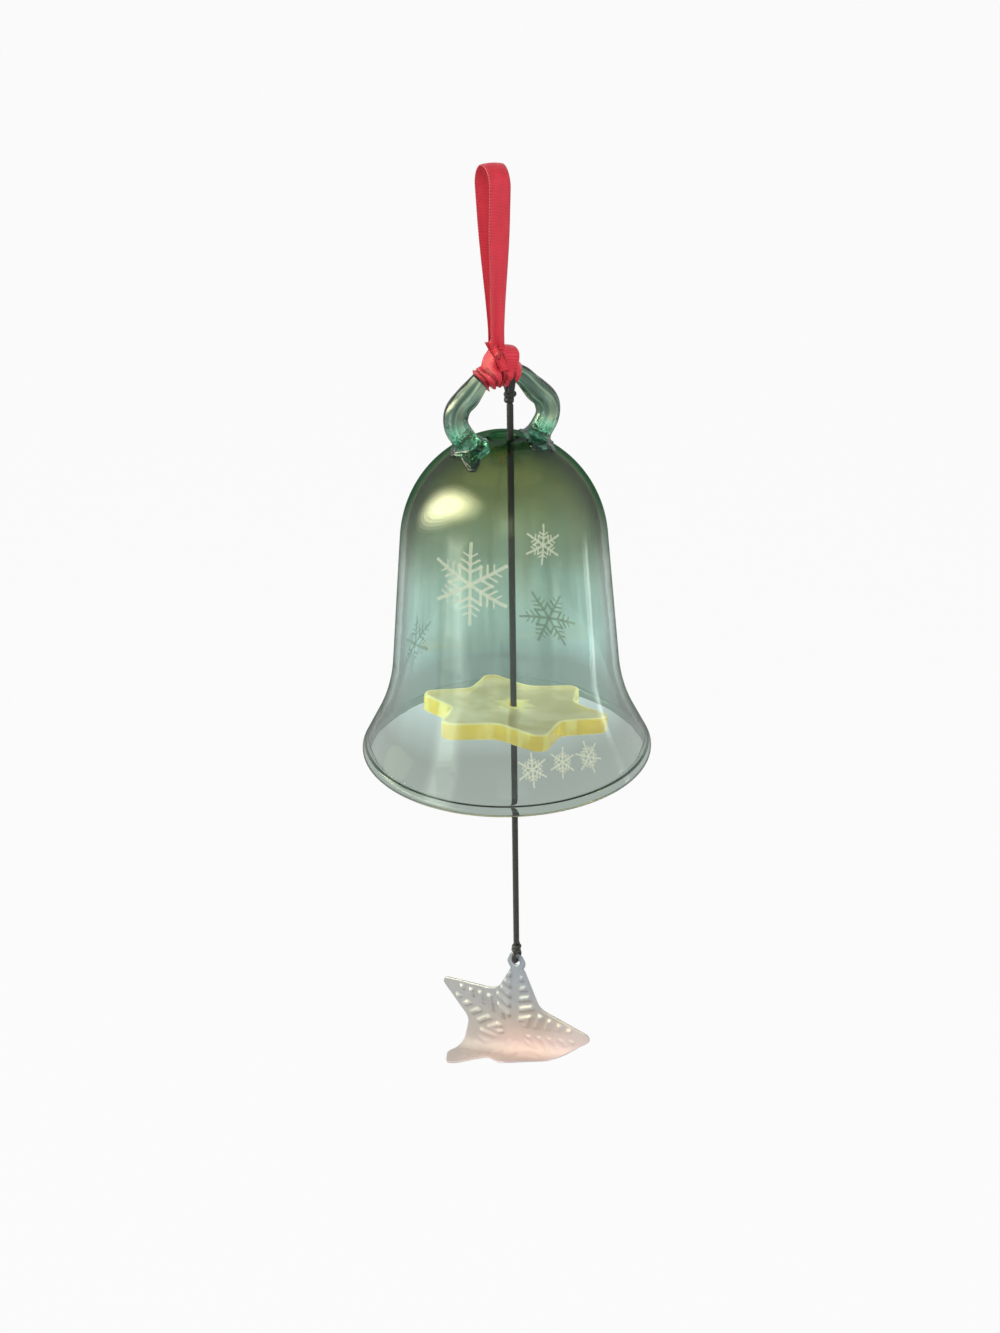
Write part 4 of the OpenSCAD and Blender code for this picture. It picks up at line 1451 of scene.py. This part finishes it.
def make_floor():
    """Plain white floor: it shows as the background and still takes a soft shadow."""
    mesh = bpy.data.meshes.new("floor")
    signs = [(-1, -1), (1, -1), (1, 1), (-1, 1)]
    mesh.from_pydata([(x * FLOOR_HALF, y * FLOOR_HALF, FLOOR_Z) for x, y in signs], [], [(0, 1, 2, 3)])
    floor = bpy.data.objects.new("floor", mesh)
    bpy.context.scene.collection.objects.link(floor)
    paint = Finish("floor_white", Base_Color=(0.8, 0.8, 0.8, 1.0), Roughness=1.0)
    glow = paint.node("Emission", inputs={"Color": (1, 1, 1, 1), "Strength": 1.0})
    paint.mix_in(seen_rays(paint) * FLOOR_GLOW, glow.out())
    mesh.materials.append(paint.material)


def make_world():
    """Plain sky: the floor's level to the camera, else white at the horizon and greyer overhead."""
    world = bpy.data.worlds.new("studio")
    world.use_nodes = True
    bpy.context.scene.world = world
    sky = Tree(world.node_tree)
    height = sky.xyz(sky.node("TexCoord").out("Generated"))[2]
    level = 1 - height.step(0.1, 1.0) * 0.65
    level = level + (FLOOR_LEVEL - level) * sky.node("LightPath").out("Is Camera Ray")
    sky.feed(world.node_tree.nodes["Background"].inputs["Color"], sky.vector(level, level, level))


def soft_box(name, at, aim, size, glow, colour=(1, 1, 1), shape="RECTANGLE", roll=0.0, lit=True, shiny=True):
    """A lamp with soft edges: panels one in front of the other, smaller and brighter towards the front."""
    at = Vector(at)
    way = Vector(aim) - at
    turn = way.to_track_quat("-Z", "Y") @ Quaternion((0, 0, 1), roll)
    for i, part in enumerate(LAMP_PARTS):
        data = bpy.data.lights.new(f"{name}_{i}", "AREA")
        data.shape = shape
        data.size = size[0] * (1 - LAMP_SHRINK * i)
        data.size_y = size[1] * (1 - LAMP_SHRINK * i)
        data.energy = glow * part * math.pi * data.size * data.size_y
        data.color = colour
        lamp = bpy.data.objects.new(f"{name}_{i}", data)
        lamp.location = at + way.normalized() * LAMP_GAP * i
        lamp.rotation_euler = turn.to_euler()
        lamp.visible_camera = False
        lamp.visible_glossy = shiny
        lamp.visible_diffuse = lit
        bpy.context.scene.collection.objects.link(lamp)


def make_lights():
    """Three lamps that only show in the glass, then two that only light the object."""
    soft_box("glint", (-0.585, 0.157, 0.275), (0, 0, -0.08), (1.35, 0.5), 4.4,
             colour=(1.0, 0.95, 0.62), shape="ELLIPSE", roll=0.6, lit=False)
    soft_box("window", (-0.34, -0.09, -0.11), (0, 0, -0.11), (0.2, 0.32), 1.1, (0.9, 1.0, 0.86), lit=False)
    soft_box("strip", (0.385, -0.11, -0.2), (0, 0, -0.2), (0.05, 0.26), 1.2, (0.92, 1.0, 0.96), lit=False)
    soft_box("key", (-0.6, -0.2, 0.5), (0, 0, -0.08), (0.5, 0.5), 1.2, (1.0, 0.98, 0.94), shiny=False)
    soft_box("front", (-0.3, -0.9, 0.5), (0, 0, -0.12), (0.6, 0.6), 1.4, shiny=False)


def main():
    make_camera()
    bpy.context.scene.view_settings.view_transform = "Standard"
    make_cords(cord_finish())
    satin = satin_finish()
    ribbon, route = make_ribbon(satin)
    place_ribbon(ribbon, route, make_knot(satin))
    bell = make_bell(bell_glass_finish())
    crystals = crystal_tree()
    light = frost_finish("light_frost", LIGHT_PAINTED_GLOW, LIGHT_COVER)
    dense = frost_finish("dense_frost", DENSE_PAINTED_GLOW, DENSE_COVER)
    make_frost("bell_frost_light", bell, crystals, LIGHT_CRYSTALS, light)
    make_frost("bell_frost_dense", bell, crystals, DENSE_CRYSTALS, dense)
    make_loop(loop_glass_finish())
    make_star(star_glass_finish())
    make_sail(sail_metal_finish())
    make_floor()
    make_world()
    make_lights()


main()
